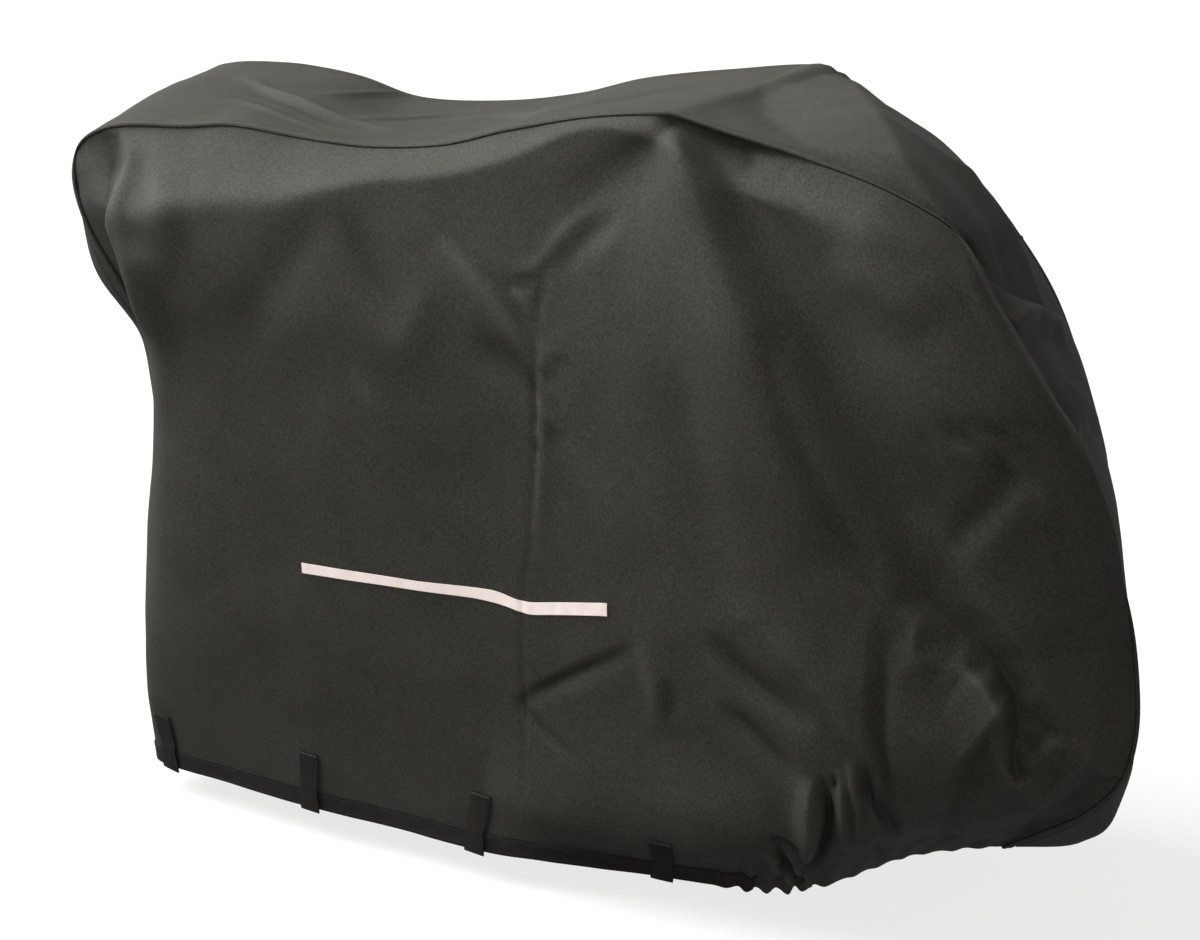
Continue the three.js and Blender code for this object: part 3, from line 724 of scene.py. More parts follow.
nearBroadFolds = [
    ("bar ridge", [(839, 1021), (876, 958), (902, 914), (924, 870), (957, 806), (991, 742), (1024, 674),
     (1054, 602), (1088, 528)], [0, 8, 11, 13, 16, 16, 14, 10, 0], [8, 16, 24, 30, 36, 40, 42, 40, 36],
     [12, 26, 42, 56, 66, 70, 70, 66, 60], 0.15),
    ("left valley", [(843, 1022), (818, 990), (790, 962), (762, 936), (738, 906), (716, 870)],
     [-3, -11, -13, -10, -6, -1], [12, 40, 60, 70, 70, 60], [8, 20, 32, 40, 44, 40], 0.15),
    ("right valley", [(842, 1024), (886, 1003), (928, 972), (962, 922), (998, 878), (1050, 810),
     (1090, 740), (1130, 672), (1164, 600), (1194, 528), (1226, 464)],
     [-10, -24, -32, -35, -36, -36, -34, -29, -22, -14, -4],
     [14, 30, 46, 60, 70, 76, 74, 68, 60, 50, 38], [14, 26, 36, 44, 50, 52, 52, 50, 44, 36, 30], 0.15),
    ("soft valley", [(831, 814), (846, 778), (882, 726), (897, 655), (915, 577), (941, 511),
     (966, 441)], [0, -4, -7, -8, -8, -5, 0], 34, 36, 0),
    ("front bulge", [(1085, 905), (1130, 850), (1190, 745), (1230, 640)], [8, 14, 14, 6], 80, 70, 0),
    ("belly", [(600, 150), (690, 130), (780, 122), (880, 128), (960, 142), (1020, 170)],
     [0, 14, 22, 24, 20, 0], [80, 110, 130, 130, 110, 60], [30, 40, 50, 50, 40, 30], 0.1),
    ("upper front roll", [(1166, 880), (1194, 836), (1222, 788), (1250, 746), (1276, 704), (1304, 660),
     (1328, 612), (1350, 560), (1364, 490), (1374, 430)], [0, 8, 14, 20, 24, 27, 28, 24, 14, 0], 30, 84,
     0.15),
    ("shoulder turn", [(1046, 886), (1092, 862), (1132, 834), (1168, 800)], [0, 8, 9, 0], 56, 26, 0.15),
]

nearFineFolds = [
    ("right branch", [(990, 813), (1003, 745), (1036, 669), (1078, 581), (1116, 501), (1139, 455)],
     [0, -4, -6, -6, -4, 0], 18, 24, 0.2),
    ("left pleat", [(768, 926), (731, 898), (697, 858), (675, 829)], [0, 2.4, 3, 1], [9, 11, 10, 7],
     [6, 7, 7, 5], 0.8),
    ("left pleat shade", [(790, 918), (757, 889), (727, 856), (705, 822)], [0, -2.4, -2.4, 0], 12, 8,
     0.6),
    ("middle pleat", [(796, 906), (774, 868), (754, 838)], [0, 1.8, 0], 12, 8, 0.7),
    ("crumple", [(648, 833), (678, 833), (700, 824)], [0, 2.6, 1], 7, 6, 0.9),
    ("crumple dark", [(634, 806), (662, 815), (694, 833)], [0, -2.6, -2], 6, 7, 0.8),
    ("small triangle", [(656, 803), (676, 784), (692, 772)], [2, 2.6, 0], 12, 5, 0.9),
    ("small triangle edge", [(697, 822), (690, 795), (687, 768)], [-1.5, -2.6, 0], 5, 10, 0.8),
    ("diagonal band", [(548, 862), (600, 818), (648, 772), (682, 722)], [0, 6, 8, 3], [10, 12, 12, 8],
     [28, 38, 40, 20], 0.75),
    ("diagonal band end", [(595, 740), (640, 728), (681, 704)], [0, -4, -4], 20, 20, 0.3),
    ("centre crease", [(684, 778), (687, 741), (685, 696), (688, 636), (685, 575), (680, 500),
     (670, 426), (664, 330), (664, 275), (658, 120)],
     [0, -1.8, -2, -2, -1.5, -1.2, -1.2, -1.8, -1.2, 0], 6, 4, 0.9),
    ("centre lip", [(694, 760), (696, 700), (697, 640), (694, 570), (686, 490)], [0, 2, 2.5, 2, 0], 16,
     7, 0.5),
    ("pucker one", [(684, 692), (707, 716), (738, 750)], [-2.5, -3, 0], 7, 9, 0.8),
    ("pucker one light", [(690, 712), (712, 738), (742, 766)], [2, 2, 0], 12, 7, 0.6),
    ("pucker two", [(686, 655), (703, 672), (724, 690)], [-2.5, -2.5, 0], 6, 8, 0.8),
    ("pucker three", [(688, 618), (713, 642), (742, 662)], [-2.2, -2.5, 0], 6, 9, 0.8),
    ("pucker three light", [(692, 640), (716, 664), (744, 680)], [1.5, 2, 0], 9, 6, 0.6),
    ("shoulder dent", [(1090, 905), (1140, 880), (1165, 870)], [0, -2.5, 0], 20, 20, 0.2),
    ("seam pucker", [(922, 1000), (938, 988), (956, 976)], [0, -2.6, 0], 6, 8, 0.7),
    ("seam pucker light", [(934, 994), (957, 982), (985, 966)], [0, 2.4, 0], 10, 7, 0.6),
    ("front crease", [(1160, 680), (1215, 694), (1262, 699), (1300, 695)], [0, -3.5, -4, 0], 12, 4,
     0.85),
    ("front crease light", [(1180, 677), (1230, 686), (1290, 686)], [0, 2.5, 0], 4, 10, 0.7),
    ("front crease two", [(1222, 683), (1250, 686), (1296, 678)], [0, -4, 0], 6, 6, 0.6),
    ("front crossing", [(1238, 678), (1252, 658), (1260, 634)], [0, -4, -3], 13, 11, 0.5),
    ("crisp crease", [(1258, 634), (1232, 591), (1198, 540)], [-3, -6, 0], [15, 15, 12], [18, 17, 13],
     0.5),
    ("crisp crease edge", [(1280, 630), (1254, 584), (1220, 534)], [3, 3, 0], 17, 15, 0.4),
    ("crossing light", [(1288, 640), (1300, 610), (1290, 585)], [0, 4, 0], 9, 10, 0.5),
    ("pinch top", [(661, 278), (700, 306), (740, 332), (790, 362), (832, 392)], [-2, -4, -4.5, -3, 0],
     7, 18, 0.7),
    ("belly streak", [(838, 372), (848, 340), (852, 300), (846, 270)], [3, 5, 4, 0], 22, 16, 0.4),
    ("belly streak dark", [(868, 350), (872, 318), (862, 285)], [0, -4, 0], 9, 9, 0.6),
    ("pinch low", [(664, 268), (705, 236), (756, 204)], [-2, -3, 0], 9, 12, 0.4),
    ("belly dark", [(925, 420), (972, 372), (1020, 340), (1062, 316)], [0, -7, -8, 0], 22, 16, 0.3),
    ("belly light", [(1000, 440), (1040, 396), (1085, 346), (1122, 290), (1140, 240)], [0, 5, 7, 6, 0],
     26, 15, 0.3),
    ("belly dark two", [(935, 330), (978, 300), (1020, 262), (1048, 232)], [0, -6, -7, 0], 16, 15, 0.3),
    ("lobe", [(1056, 252), (1054, 215), (1052, 180), (1044, 140), (1030, 110)], [0, 10, 13, 10, 4],
     [8, 12, 14, 12, 9], [14, 20, 22, 18, 12], 0.5),
    ("lobe slit", [(1072, 244), (1076, 211), (1071, 173), (1055, 128), (1036, 94)],
     [-3, -12, -16, -14, -8], 8, 8, 0.8),
    ("lobe two", [(1090, 266), (1094, 236), (1092, 196), (1084, 150)], [0, 7, 9, 6], 10, 9, 0.6),
    ("lobe two slit", [(1084, 262), (1086, 246), (1084, 232)], [0, -5, 0], 5, 5, 0.7),
    ("lobe three", [(1104, 286), (1108, 250), (1110, 216), (1106, 170)], [0, 6, 7, 4], 8, 7, 0.7),
    ("lobe three slit", [(1122, 286), (1126, 234), (1138, 200), (1144, 168)], [0, -9, -10, -5],
     [10, 12, 10, 8], [8, 9, 8, 8], 0.6),
    ("hem crumple", [(996, 156), (1010, 148), (1026, 140)], [0, -9, -4], 7, 9, 0.7),
    ("hem crumple two", [(985, 140), (992, 110), (998, 70)], [0, 6, 7], 7, 7, 0.6),
    ("hem crumple slit", [(1004, 146), (1006, 110), (1008, 70)], [-4, -8, -7], 6, 6, 0.7),
    ("hem crumple three", [(1018, 136), (1020, 100), (1022, 66)], [0, 7, 7], 7, 7, 0.6),
    ("seat streak", [(429, 688), (462, 657), (492, 628)], [0, 2.5, 0], 8, 16, 0.6),
    ("seat hollow one", [(383, 894), (362, 845), (331, 797), (298, 757), (256, 696)],
     [0, -3.5, -4.5, -3.5, 0], [20, 26, 30, 30, 26], [30, 36, 40, 40, 30], 0.1),
    ("seat hollow two", [(412, 887), (443, 840), (470, 806), (493, 778), (514, 727)],
     [0, -3.5, -4.5, -3.5, 0], [26, 30, 34, 34, 30], [16, 20, 24, 26, 24], 0.15),
    ("seat fall", [(560, 830), (520, 760), (500, 690)], [0, 3, 0], 24, 30, 0.1),
    ("hem crease three", [(1106, 90), (1112, 122), (1126, 160)], [-3, -5, 0], 6, 9, 0.8),
    ("hem crease one", [(1150, 92), (1166, 112), (1190, 134), (1212, 150)], [0, -4, -4, 0], 6, 9, 0.9),
    ("hem crease two", [(1176, 84), (1200, 104), (1232, 126)], [0, -3, 0], 6, 9, 0.9),
    ("roll rim", [(1187, 888), (1208, 843), (1236, 794), (1261, 754), (1285, 715), (1314, 674),
     (1332, 638), (1348, 600)], [0, 3, 4, 4, 4, 4, 3, 0], 6, 8, 0.5),
]

nearFacets = [
    ("outer", [(1085, 520, 0), (1160, 600, 0), (1260, 560, 0), (1340, 490, 0), (1395, 400, 0),
     (1404, 340, 0), (1404, 300, 0), (1397, 250, 0), (1350, 170, 0), (1290, 100, 0), (1200, 84, 0),
     (1135, 78, 0), (1085, 80, 0), (1080, 200, 0), (1075, 320, 0), (1075, 440, 0), (1085, 520, 0)]),
    ("tall crease", [(1144, 475, 0), (1140, 427, -3), (1138, 375, -5), (1138, 332, -6), (1142, 287, -7),
     (1144, 228, -8), (1142, 185, -7), (1128, 118, -4)]),
    ("tall lip", [(1122, 474, 1), (1119, 428, 3), (1118, 379, 4), (1118, 330, 4), (1124, 286, 4),
     (1132, 240, 2), (1131, 195, -1), (1114, 117, -2)]),
    ("tall edge", [(1158, 446, 0), (1155, 389, 4), (1152, 339, 5), (1152, 287, 4), (1154, 229, -2),
     (1151, 186, -5)]),
    ("thin ridge", [(1168, 470, 0), (1170, 448, 5), (1171, 422, 8), (1177, 401, 8), (1205, 410, 4),
     (1226, 404, 8), (1241, 396, 18), (1253, 379, 26), (1265, 363, 34)]),
    ("ridge foot", [(1182, 467, -2), (1189, 437, -2), (1205, 410, 4)]),
    ("patch foot", [(1177, 401, 8), (1185, 373, 8), (1202, 353, 11), (1222, 345, 18), (1243, 347, 26),
     (1265, 363, 34)]),
    ("ridge edge", [(1265, 363, 34), (1254, 346, 31), (1246, 332, 28), (1220, 290, 21), (1194, 249, 14),
     (1169, 206, 6), (1146, 164, -2)]),
    ("hollow", [(1142, 563, -2), (1190, 489, -11), (1231, 443, -14), (1263, 406, -15), (1281, 378, -15),
     (1288, 350, -14), (1288, 322, -13), (1286, 305, -13)]),
    ("hollow side", [(1200, 562, 3), (1248, 480, 4), (1289, 429, 5), (1312, 381, 5), (1333, 351, 3),
     (1353, 325, 2)]),
    ("facet foot", [(1254, 346, 31), (1249, 306, 8), (1235, 257, -6), (1211, 195, -9),
     (1182, 138, -6)]),
    ("low line", [(1262, 272, 8), (1252, 246, 6), (1238, 209, 1), (1216, 160, -2), (1194, 118, 0)]),
    ("second fold", [(1254, 346, 31), (1258, 325, 21), (1263, 301, 15), (1273, 277, 12), (1286, 255, 9),
     (1309, 225, 5)]),
    ("slit", [(1265, 363, 34), (1270, 331, 14), (1275, 302, 7), (1284, 266, -8)]),
    ("slit top", [(1286, 305, -13), (1285, 284, -11), (1284, 266, -8)]),
    ("pocket", [(1286, 305, -13), (1303, 309, -13), (1323, 320, -9), (1339, 318, -1)]),
    ("lobe", [(1284, 266, -8), (1303, 287, 4), (1321, 306, 5), (1341, 306, 2)]),
    ("lobe foot", [(1286, 255, 9), (1308, 267, 1), (1333, 268, 0)]),
    ("nose line", [(1309, 225, 5), (1342, 264, 8), (1364, 288, 8), (1384, 300, 4), (1404, 300, 0)]),
    ("nose foot", [(1284, 216, -6), (1307, 184, -14), (1340, 206, -15), (1372, 246, -9),
     (1397, 250, 0)]),
    ("low hollow", [(1307, 184, -14), (1280, 143, -12), (1258, 116, -5)]),
]

rearFacets = [
    ("outer", [(-40, 930, 0), (-16, 924, 0), (10, 940, 0), (60, 952, 0), (120, 955, 0), (165, 930, 0),
     (190, 880, 0), (180, 800, 0), (160, 700, 0), (150, 600, 0), (140, 480, 0), (110, 420, 0),
     (60, 440, 0), (52, 560, 0), (50, 640, 0), (22, 735, 0), (-20, 810, 0), (-42, 872, 0),
     (-40, 930, 0)]),
    ("band end", [(72, 950, 0), (88, 938, 2), (112, 915, 6), (131, 895, 9), (151, 864, 13),
     (158, 800, 4), (150, 740, 0)]),
    ("pocket", [(28, 938, -6), (42, 905, -24), (40, 850, -28), (46, 800, -24), (62, 740, -18),
     (66, 680, -10)]),
    ("dark edge", [(50, 946, 0), (66, 930, 2), (80, 905, 4), (72, 868, 3), (62, 836, 0), (80, 792, 2),
     (97, 738, 7)]),
    ("hollow", [(98, 905, -4), (104, 870, -6), (104, 840, -4)]),
    ("side edge", [(93, 832, 5), (98, 790, 10), (106, 737, 14), (102, 687, 12), (90, 600, 6),
     (78, 500, 0)]),
]

hemElastic = {
    "seed": 21,
    "pleatWidth": 8,
    "pleatSpread": 16,
    "leastHeight": 0.6,
    "heightSpread": 0.6,
    "start": 935.0,
    "growsOver": 50,
    "easesBetween": (110, 180),
    "eased": 0.75,
    "endFade": 0.03,
    "levels": (0.9, 0.99),
}


def gathers(at, level, side):
    # the elastic in the front of the hem draws the cloth into uneven pleats
    draws = np.random.default_rng(hemElastic["seed"] + side)
    along = at * hemKeys[-1]
    start = hemElastic["start"]
    marks = [0.0]
    while marks[-1] < hemKeys[-1]:
        marks.append(marks[-1] + hemElastic["pleatWidth"] + hemElastic["pleatSpread"] * draws.random())
    marks = np.array(marks)
    heights = hemElastic["leastHeight"] + hemElastic["heightSpread"] * draws.random(len(marks))
    phase = np.interp(along, marks, np.arange(len(marks)) * math.pi)
    strength = np.interp(along, marks, heights) * smoothStep(along, start, start + hemElastic["growsOver"])
    easing = smoothStep(along, *(start + reach for reach in hemElastic["easesBetween"]))
    strength *= 1 - hemElastic["eased"] * easing
    strength *= smoothStep(1 - at, 0, hemElastic["endFade"])
    return (np.cos(phase) * strength)[:, None] * smoothStep(level, *hemElastic["levels"])[None, :]


def rolledShare(level):
    along = frontAlong(level)
    return smoothStep(along, *nearPanel["rollStart"]) * (1 - smoothStep(along, *nearPanel["rollEnd"]))


def turnedEdge(side, level, points):
    # At its front edge the near panel rolls over, and its seam lies hidden behind the roll. Lower down
    # and on the far side the seam is at the edge.
    rolled = (rolledShare(level) * (side == nearSide))[:, None]
    onward = unit(points[-1] - points[-2])
    shift = rolled * np.array(nearPanel["roll"]) + (1 - rolled) * onward * cover["edgeTurn"]
    return points[-1] + shift[None] * np.array(cover["turnedShares"])[:, None, None]


def shapePanel(side, settings, broadFolds, fineFolds, facets):
    at = unevenSteps(settings["columns"], settings["columnDensity"])
    level = unevenSteps(settings["rows"], settings["rowDensity"])
    base = panelPoints(side, at, level)
    fade = smoothStep(level, 0, settings["seamFade"])[None, :]
    fade = fade * smoothStep(np.minimum(at, 1 - at), 0, settings["seamFade"] / 2)[:, None]
    places = base[..., [0, 2]]
    rises = [foldHeights(broadFolds, places, side)]
    rises += [softened(facetHeights(creases, places), 1) for creases in facets]
    rises.append(foldHeights(fineFolds, places, side) * settings["fineScale"])
    rises.append(ripples(base, settings["rippleSeed"], settings["rippleHeight"]))
    points = raiseFolds(base, side, rises, fade)
    relief = fineRelief(rises[1:])
    pleats = gathers(at, level, side) * settings["gatherHeight"]
    points = points + gridNormals(points, side) * pleats[..., None]
    points = np.concatenate([points, turnedEdge(side, level, points)])
    base = np.concatenate([base, turnedEdge(side, level, base)])
    relief = np.pad(relief, ((0, len(cover["turnedAt"])), (0, 0)), mode="edge")
    if side == nearSide:
        rimRows = nearPanel["rimRows"]
        # the rim of the rolled front edge is painted paler: a painted highlight along the roll
        rim = np.sin(np.linspace(0, math.pi, rimRows)) ** 2
        relief[-rimRows - 2:-2] += rim[:, None] * rolledShare(level) * nearPanel["rollPaintedHighlight"]
    return np.append(at, cover["turnedAt"]), level, base, points, relief


farPanel = {
    "columns": 200,
    "columnDensity": [(0, 1), (0.7, 1), (1, 1.8)],
    "rows": 110,
    "rowDensity": [(0, 2.0), (0.04, 1.2), (0.6, 0.8), (1, 1.5)],
    "seamFade": 0.02,
    "fineScale": 1.2,
    "rippleSeed": 6,
    "rippleHeight": 1.1,
    "gatherHeight": 4.0,
}

farBroadFolds = [
    ("bar point", [(884, 1006), (880, 900)], [14, 8], 30, 30, 0.3),
    ("left valley", [(860, 990), (800, 895), (740, 800)], [0, -16, 0], 50, 50, 0),
    ("right valley", [(905, 960), (960, 820), (1010, 700)], [0, -16, -12], 50, 50, 0),
    ("long valley", [(1010, 700), (1100, 550), (1190, 400)], [-12, -14, 0], 60, 60, 0),
    ("low ridge", [(1200, 330), (1140, 235), (1080, 140)], [0, 18, 6], 30, 50, 0.3),
]

farFineFolds = [
    ("seat crease", [(180, 900), (240, 800), (330, 700)], [0, -5, 0], 16, 22, 0.2),
    ("seat ridge", [(420, 880), (470, 780), (560, 690)], [0, 6, 0], 20, 24, 0.2),
    ("centre crease", [(660, 820), (650, 560), (648, 180)], [0, -5, 0], 10, 10, 0.5),
    ("long ridge", [(1010, 800), (1080, 640), (1120, 480)], [0, 7, 0], 22, 22, 0.3),
    ("low crease", [(940, 420), (1010, 300), (1050, 200)], [0, -7, 0], 14, 18, 0.3),
    ("nose crease", [(1200, 420), (1240, 330), (1250, 240)], [0, -7, 0], 10, 12, 0.4),
]

gussetCloth = {
    "columns": 560,
    "columnDensity": [(0, 0.6), (0.28, 0.6), (0.33, 1.4), (0.45, 1.4), (0.5, 0.9), (0.6, 1.0),
                      (0.67, 1.5), (0.8, 1.5), (0.86, 0.8), (1, 0.8)],
    "rows": 82,
    "width": 430.0,
    "edgeRows": (0, 2.5, 5.5, 9, 11.5, 13, 14.5, 17, 21, 27),  # from either seam, in millimetres
    "innerFrom": 34,
    "edgeFade": 0.05,
    "fineScale": 1.35,
    "rippleSeed": 11,
    "rippleHeight": 1.2,
    "grooveDepth": 1.6,
    "grooveWidth": 2.2,
    "swellHeight": 0.8,
    "swellAt": 7,
    "swellWidth": 4,
    "puckerSeed": 3,
    "puckerSpacing": 9.0,
    "puckerOverrun": 20,
    "puckerHeight": 0.5,
    "puckerReach": 16,
    "puckerFrom": (0, 6),
    "stitchPaintedShade": 24,
}

# The gusset's folds are laid out by how far they lie along it from the rear hem, and across from the
# near seam.
gussetBroadFolds = [
    ("seat hollow", [(1000, 300), (1120, 190), (1230, 120), (1330, 60)], [0, -4, -5, 0], 34, 40, 0),
    ("dip far", [(1200, 330), (1300, 300), (1400, 330)], [0, -4, 0], 60, 60, 0),
    ("front face", [(2230, 215), (2330, 215), (2430, 200)], [0, -6, 0], 80, 80, 0),
]

gussetFineFolds = [
    ("streak one", [(1085, 175), (1130, 140), (1204, 92), (1281, 54), (1333, 46)], [0, 3.4, 4, 3.4, 0],
     6, 18, 0.85),
    ("streak two", [(1000, 320), (1060, 280), (1121, 236), (1222, 186), (1303, 158), (1389, 112)],
     [0, 3, 4, 4, 3, 0], 6, 20, 0.85),
    ("streak two shade", [(1060, 252), (1140, 204), (1240, 156), (1330, 122)], [0, -2.5, -2.5, 0], 12,
     8, 0.6),
    ("third", [(1173, 262), (1200, 320), (1241, 415)], [0, 3, 3], 14, 8, 0.7),
    ("fourth", [(1255, 181), (1301, 254), (1348, 318), (1408, 344)], [0, 2.6, 2.6, 0], 8, 18, 0.7),
    ("rise ridge", [(1331, 194), (1450, 284), (1590, 133), (1672, 163), (1732, 288)],
     [0, 2.5, 3.5, 3, 0], 14, 24, 0.4),
    ("smudge", [(2088, 200), (2112, 226), (2136, 262)], [0, 4, 0], 16, 10, 0.5),
    ("notch line", [(2172, 10), (2196, 34), (2222, 62), (2236, 92)], [0, -4, -5, 0], [5, 5, 6, 6],
     [12, 14, 12, 8], 0.9),
    ("notch", [(2204, 22), (2232, 30), (2262, 14)], [-2, -5, 0], 8, 8, 0.7),
]

gussetFacets = [
    ("outer", [(1800, 418, 0), (1830, 250, 0), (1900, 120, 0), (1990, 30, 0), (2080, 12, 0),
     (2172, 6, 0), (2300, 6, 0), (2470, 6, 0), (2540, 60, 0), (2560, 215, 0), (2540, 370, 0),
     (2470, 420, 0), (2300, 424, 0), (2130, 424, 0), (1990, 426, 0), (1894, 424, 0), (1800, 418, 0)]),
    ("bar ridge", [(1890, 418, 12), (1928, 310, 34), (1968, 226, 45), (2014, 159, 45), (2080, 64, 31),
     (2128, 30, 13), (2172, 6, 0)]),
    ("shelf top", [(2222, 14, -10), (2240, 48, -16), (2270, 146, -16), (2300, 296, -5),
     (2318, 424, 0)]),
    ("shelf edge", [(2306, 10, 6), (2308, 50, 12), (2302, 99, 14), (2298, 150, 13), (2304, 206, 12),
     (2314, 282, 7), (2318, 424, 0)]),
    ("shelf foot", [(2334, 10, -4), (2336, 50, -8), (2330, 99, -9), (2326, 150, -9), (2334, 206, -8),
     (2346, 282, -4)]),
    ("dark face", [(2406, 10, -4), (2402, 60, -7), (2394, 120, -8), (2384, 190, -8), (2384, 260, -5)]),
    ("low streak", [(2440, 60, -5), (2426, 112, 2), (2418, 168, 5), (2426, 215, 3), (2450, 300, 0)]),
    ("low foot", [(2462, 70, -6), (2456, 120, -7), (2450, 180, -7), (2470, 280, -4)]),
]


def seamWays(side, along, at, level, points):
    # into the side panel from its seam, and out from the panel there, at each station of the gusset
    normals = gridNormals(points, side)
    stations = np.concatenate([rearAlong(level)[::-1], topAlong(at)[1:-1], frontAlong(level)])
    rearWays = unit(points[1] - points[0])[::-1]
    topWays = unit(points[:, 1] - points[:, 0])[1:-1]
    frontWays = unit(points[-2] - points[-1])
    ways = np.concatenate([rearWays, topWays, frontWays])
    outs = np.concatenate([normals[0, ::-1], normals[1:-1, 0], normals[-1]])
    found = []
    for vectors in (ways, outs):
        read = readPoints(along, stations, vectors)
        found.append(unit(np.stack([evened(read[:, axis]) for axis in range(3)], axis=1)))
    return found


def seamPuckers(along, fromEdge):
    # the stitching draws the cloth up unevenly beside the seams
    draws = np.random.default_rng(gussetCloth["puckerSeed"])
    places = np.arange(0, gussetLength + gussetCloth["puckerOverrun"], gussetCloth["puckerSpacing"])
    pucker = np.interp(along, places, draws.normal(size=len(places)))[:, None] * gussetCloth["puckerHeight"]
    reach = np.exp(-(fromEdge / gussetCloth["puckerReach"]) ** 2)
    return pucker * reach * smoothStep(fromEdge, *gussetCloth["puckerFrom"])


def shapeGusset(panels):
    along = unevenSteps(gussetCloth["columns"], gussetCloth["columnDensity"]) * gussetLength
    width = gussetCloth["width"]
    edgeRows = np.array(gussetCloth["edgeRows"])
    innerCount = gussetCloth["rows"] - 1 - 2 * len(edgeRows)
    innerRows = np.linspace(gussetCloth["innerFrom"], width - gussetCloth["innerFrom"], innerCount)
    across = np.concatenate([edgeRows, innerRows, width - edgeRows[::-1]]) / width
    _, level, _, nearPoints, _ = panels[nearSide]
    shifts = nearPoints[-1] - seamPoint(nearSide, frontAlong(level))
    base = gussetPoints(along, across, readPoints(along, frontAlong(level), shifts, left=0))
    inset = np.minimum(across, 1 - across)
    fade = smoothStep(inset, 0, gussetCloth["edgeFade"])[None, :]
    places = np.stack(np.broadcast_arrays(along[:, None], across[None, :] * width), axis=-1)
    rises = [
        foldHeights(gussetBroadFolds, places, 1),
        softened(facetHeights(gussetFacets, places), 1),
        foldHeights(gussetFineFolds, places, 1) * gussetCloth["fineScale"],
        ripples(base, gussetCloth["rippleSeed"], gussetCloth["rippleHeight"]),
    ]
    points = raiseFolds(base, 1, rises, fade)
    normals = gridNormals(points, 1)
    fromEdge = inset[None, :] * width
    stitched = np.exp(-((fromEdge - cover["stitchLine"]) / gussetCloth["grooveWidth"]) ** 2)
    swell = np.exp(-((fromEdge - gussetCloth["swellAt"]) / gussetCloth["swellWidth"]) ** 2)
    rise = gussetCloth["swellHeight"] * swell - gussetCloth["grooveDepth"] * stitched
    points = points + normals * (rise + seamPuckers(along, fromEdge))[..., None]
    laps = {}
    for side, (at, level, _, panelPoint, _) in panels.items():
        edge = 0 if side == nearSide else -1
        into, out = seamWays(side, along, at, level, panelPoint)
        seam = base[:, edge]
        points[:, edge] = seam + unit(out + normals[:, edge]) * cover["lapLift"]
        lap = seam + into * cover["lapReach"] + out * cover["lapLift"]
        middle = seam + into * cover["lapReach"] * 0.5 + out * (cover["lapLift"] + cover["lapCrown"])
        laps[side] = np.stack([lap, middle], axis=1)
    points = np.concatenate([laps[nearSide], points, laps[farSide][:, ::-1]], axis=1)
    # darker along the stitch line: painted shade in the stitch groove
    relief = fineRelief(rises[1:]) - gussetCloth["stitchPaintedShade"] * stitched
    return points, np.pad(relief, ((0, 0), (2, 2)))


makeStudio()
print("studio made")
clothMaterial = makeClothMaterial()
webbingMaterial = makeWebbingMaterial()
tapeMaterial = makeTapeMaterial()
threadMaterial = makeThreadMaterial("dark")
paleThreadMaterial = makeThreadMaterial("pale")

panels = {
    nearSide: shapePanel(nearSide, nearPanel, nearBroadFolds, nearFineFolds, (rearFacets, nearFacets)),
    farSide: shapePanel(farSide, farPanel, farBroadFolds, farFineFolds, ()),
}
print("side panels shaped")

for side, label in ((nearSide, "near"), (farSide, "far")):
    _, _, base, points, relief = panels[side]
    piece = sheetObject(f"{label}_cloth", points, side, gridSizes(base), wearAndPaintedLightOf(relief))
    thicken(piece, cover["clothThickness"])
    finishPiece(piece, clothMaterial, f"side_panel_{label}")
gussetGrid, gussetRelief = shapeGusset(panels)
gussetPiece = sheetObject("gusset_cloth", gussetGrid, 1, gridSizes(gussetGrid), wearAndPaintedLightOf(gussetRelief))
thicken(gussetPiece, cover["clothThickness"])
finishPiece(gussetPiece, clothMaterial, "top_gusset")
print("gusset shaped")

webbingBand = {
    "bandLevel": 0.969,
    "endX": 948.0,
    "thickness": 1.5,
    "gap": 0.3,
    "rows": 6,
    "rearColumns": 40,
}


def bandLines(side, count):
    # places across the band on a side panel, from the rear seam forward
    _, level, _, points, _ = panels[side]
    stop = int(np.argmax(points[:, -1, 0] > webbingBand["endX"]))
    wanted = np.linspace(webbingBand["bandLevel"], 1, count)
    picked, outs = (np.stack([readPoints(wanted, level, line) for line in grid[:stop]])
                    for grid in (points, gridNormals(points, side)))
    return picked, unit(outs)


def makeBand():
    count = webbingBand["rows"] + 1
    nearPoints, nearOuts = bandLines(nearSide, count)
    farPoints, farOuts = bandLines(farSide, count)
    stations = rearAlong(np.linspace(webbingBand["bandLevel"], 1, count))
    rearShares = np.linspace(0, 1, webbingBand["rearColumns"] + 1)[1:-1]
    rearPoints = gussetPoints(stations, rearShares).transpose(1, 0, 2)
    rearOuts = gridNormals(rearPoints, 1)
    rearOuts *= np.sign(-rearOuts[..., :1])
    points = np.concatenate([nearPoints[::-1], rearPoints, farPoints])
    outs = np.concatenate([nearOuts[::-1], rearOuts, farOuts])
    smooth = outs.copy()
    for shift in (-3, -2, -1, 1, 2, 3):
        smooth += outs[np.clip(np.arange(len(outs)) + shift, 0, len(outs) - 1)]
    outs = unit(smooth)
    return points + outs * (webbingBand["gap"] + webbingBand["thickness"]), outs


bandPoints, bandOuts = makeBand()
band = sheetObject("webbing_band", bandPoints, 1, gridSizes(bandPoints))
thicken(band, webbingBand["thickness"])
finishPiece(band, webbingMaterial, "hem_webbing")

tape = {
    "top": [(344, 414), (519, 418), (600, 422), (635, 422), (655, 416), (676, 414), (789, 434)],
    "bottom": [(345, 400), (600, 408), (640, 405), (677, 398), (788, 417)],
    "columns": 140,
    "rows": 7,
    "lift": 1.1,
    "thickness": 0.8,
}


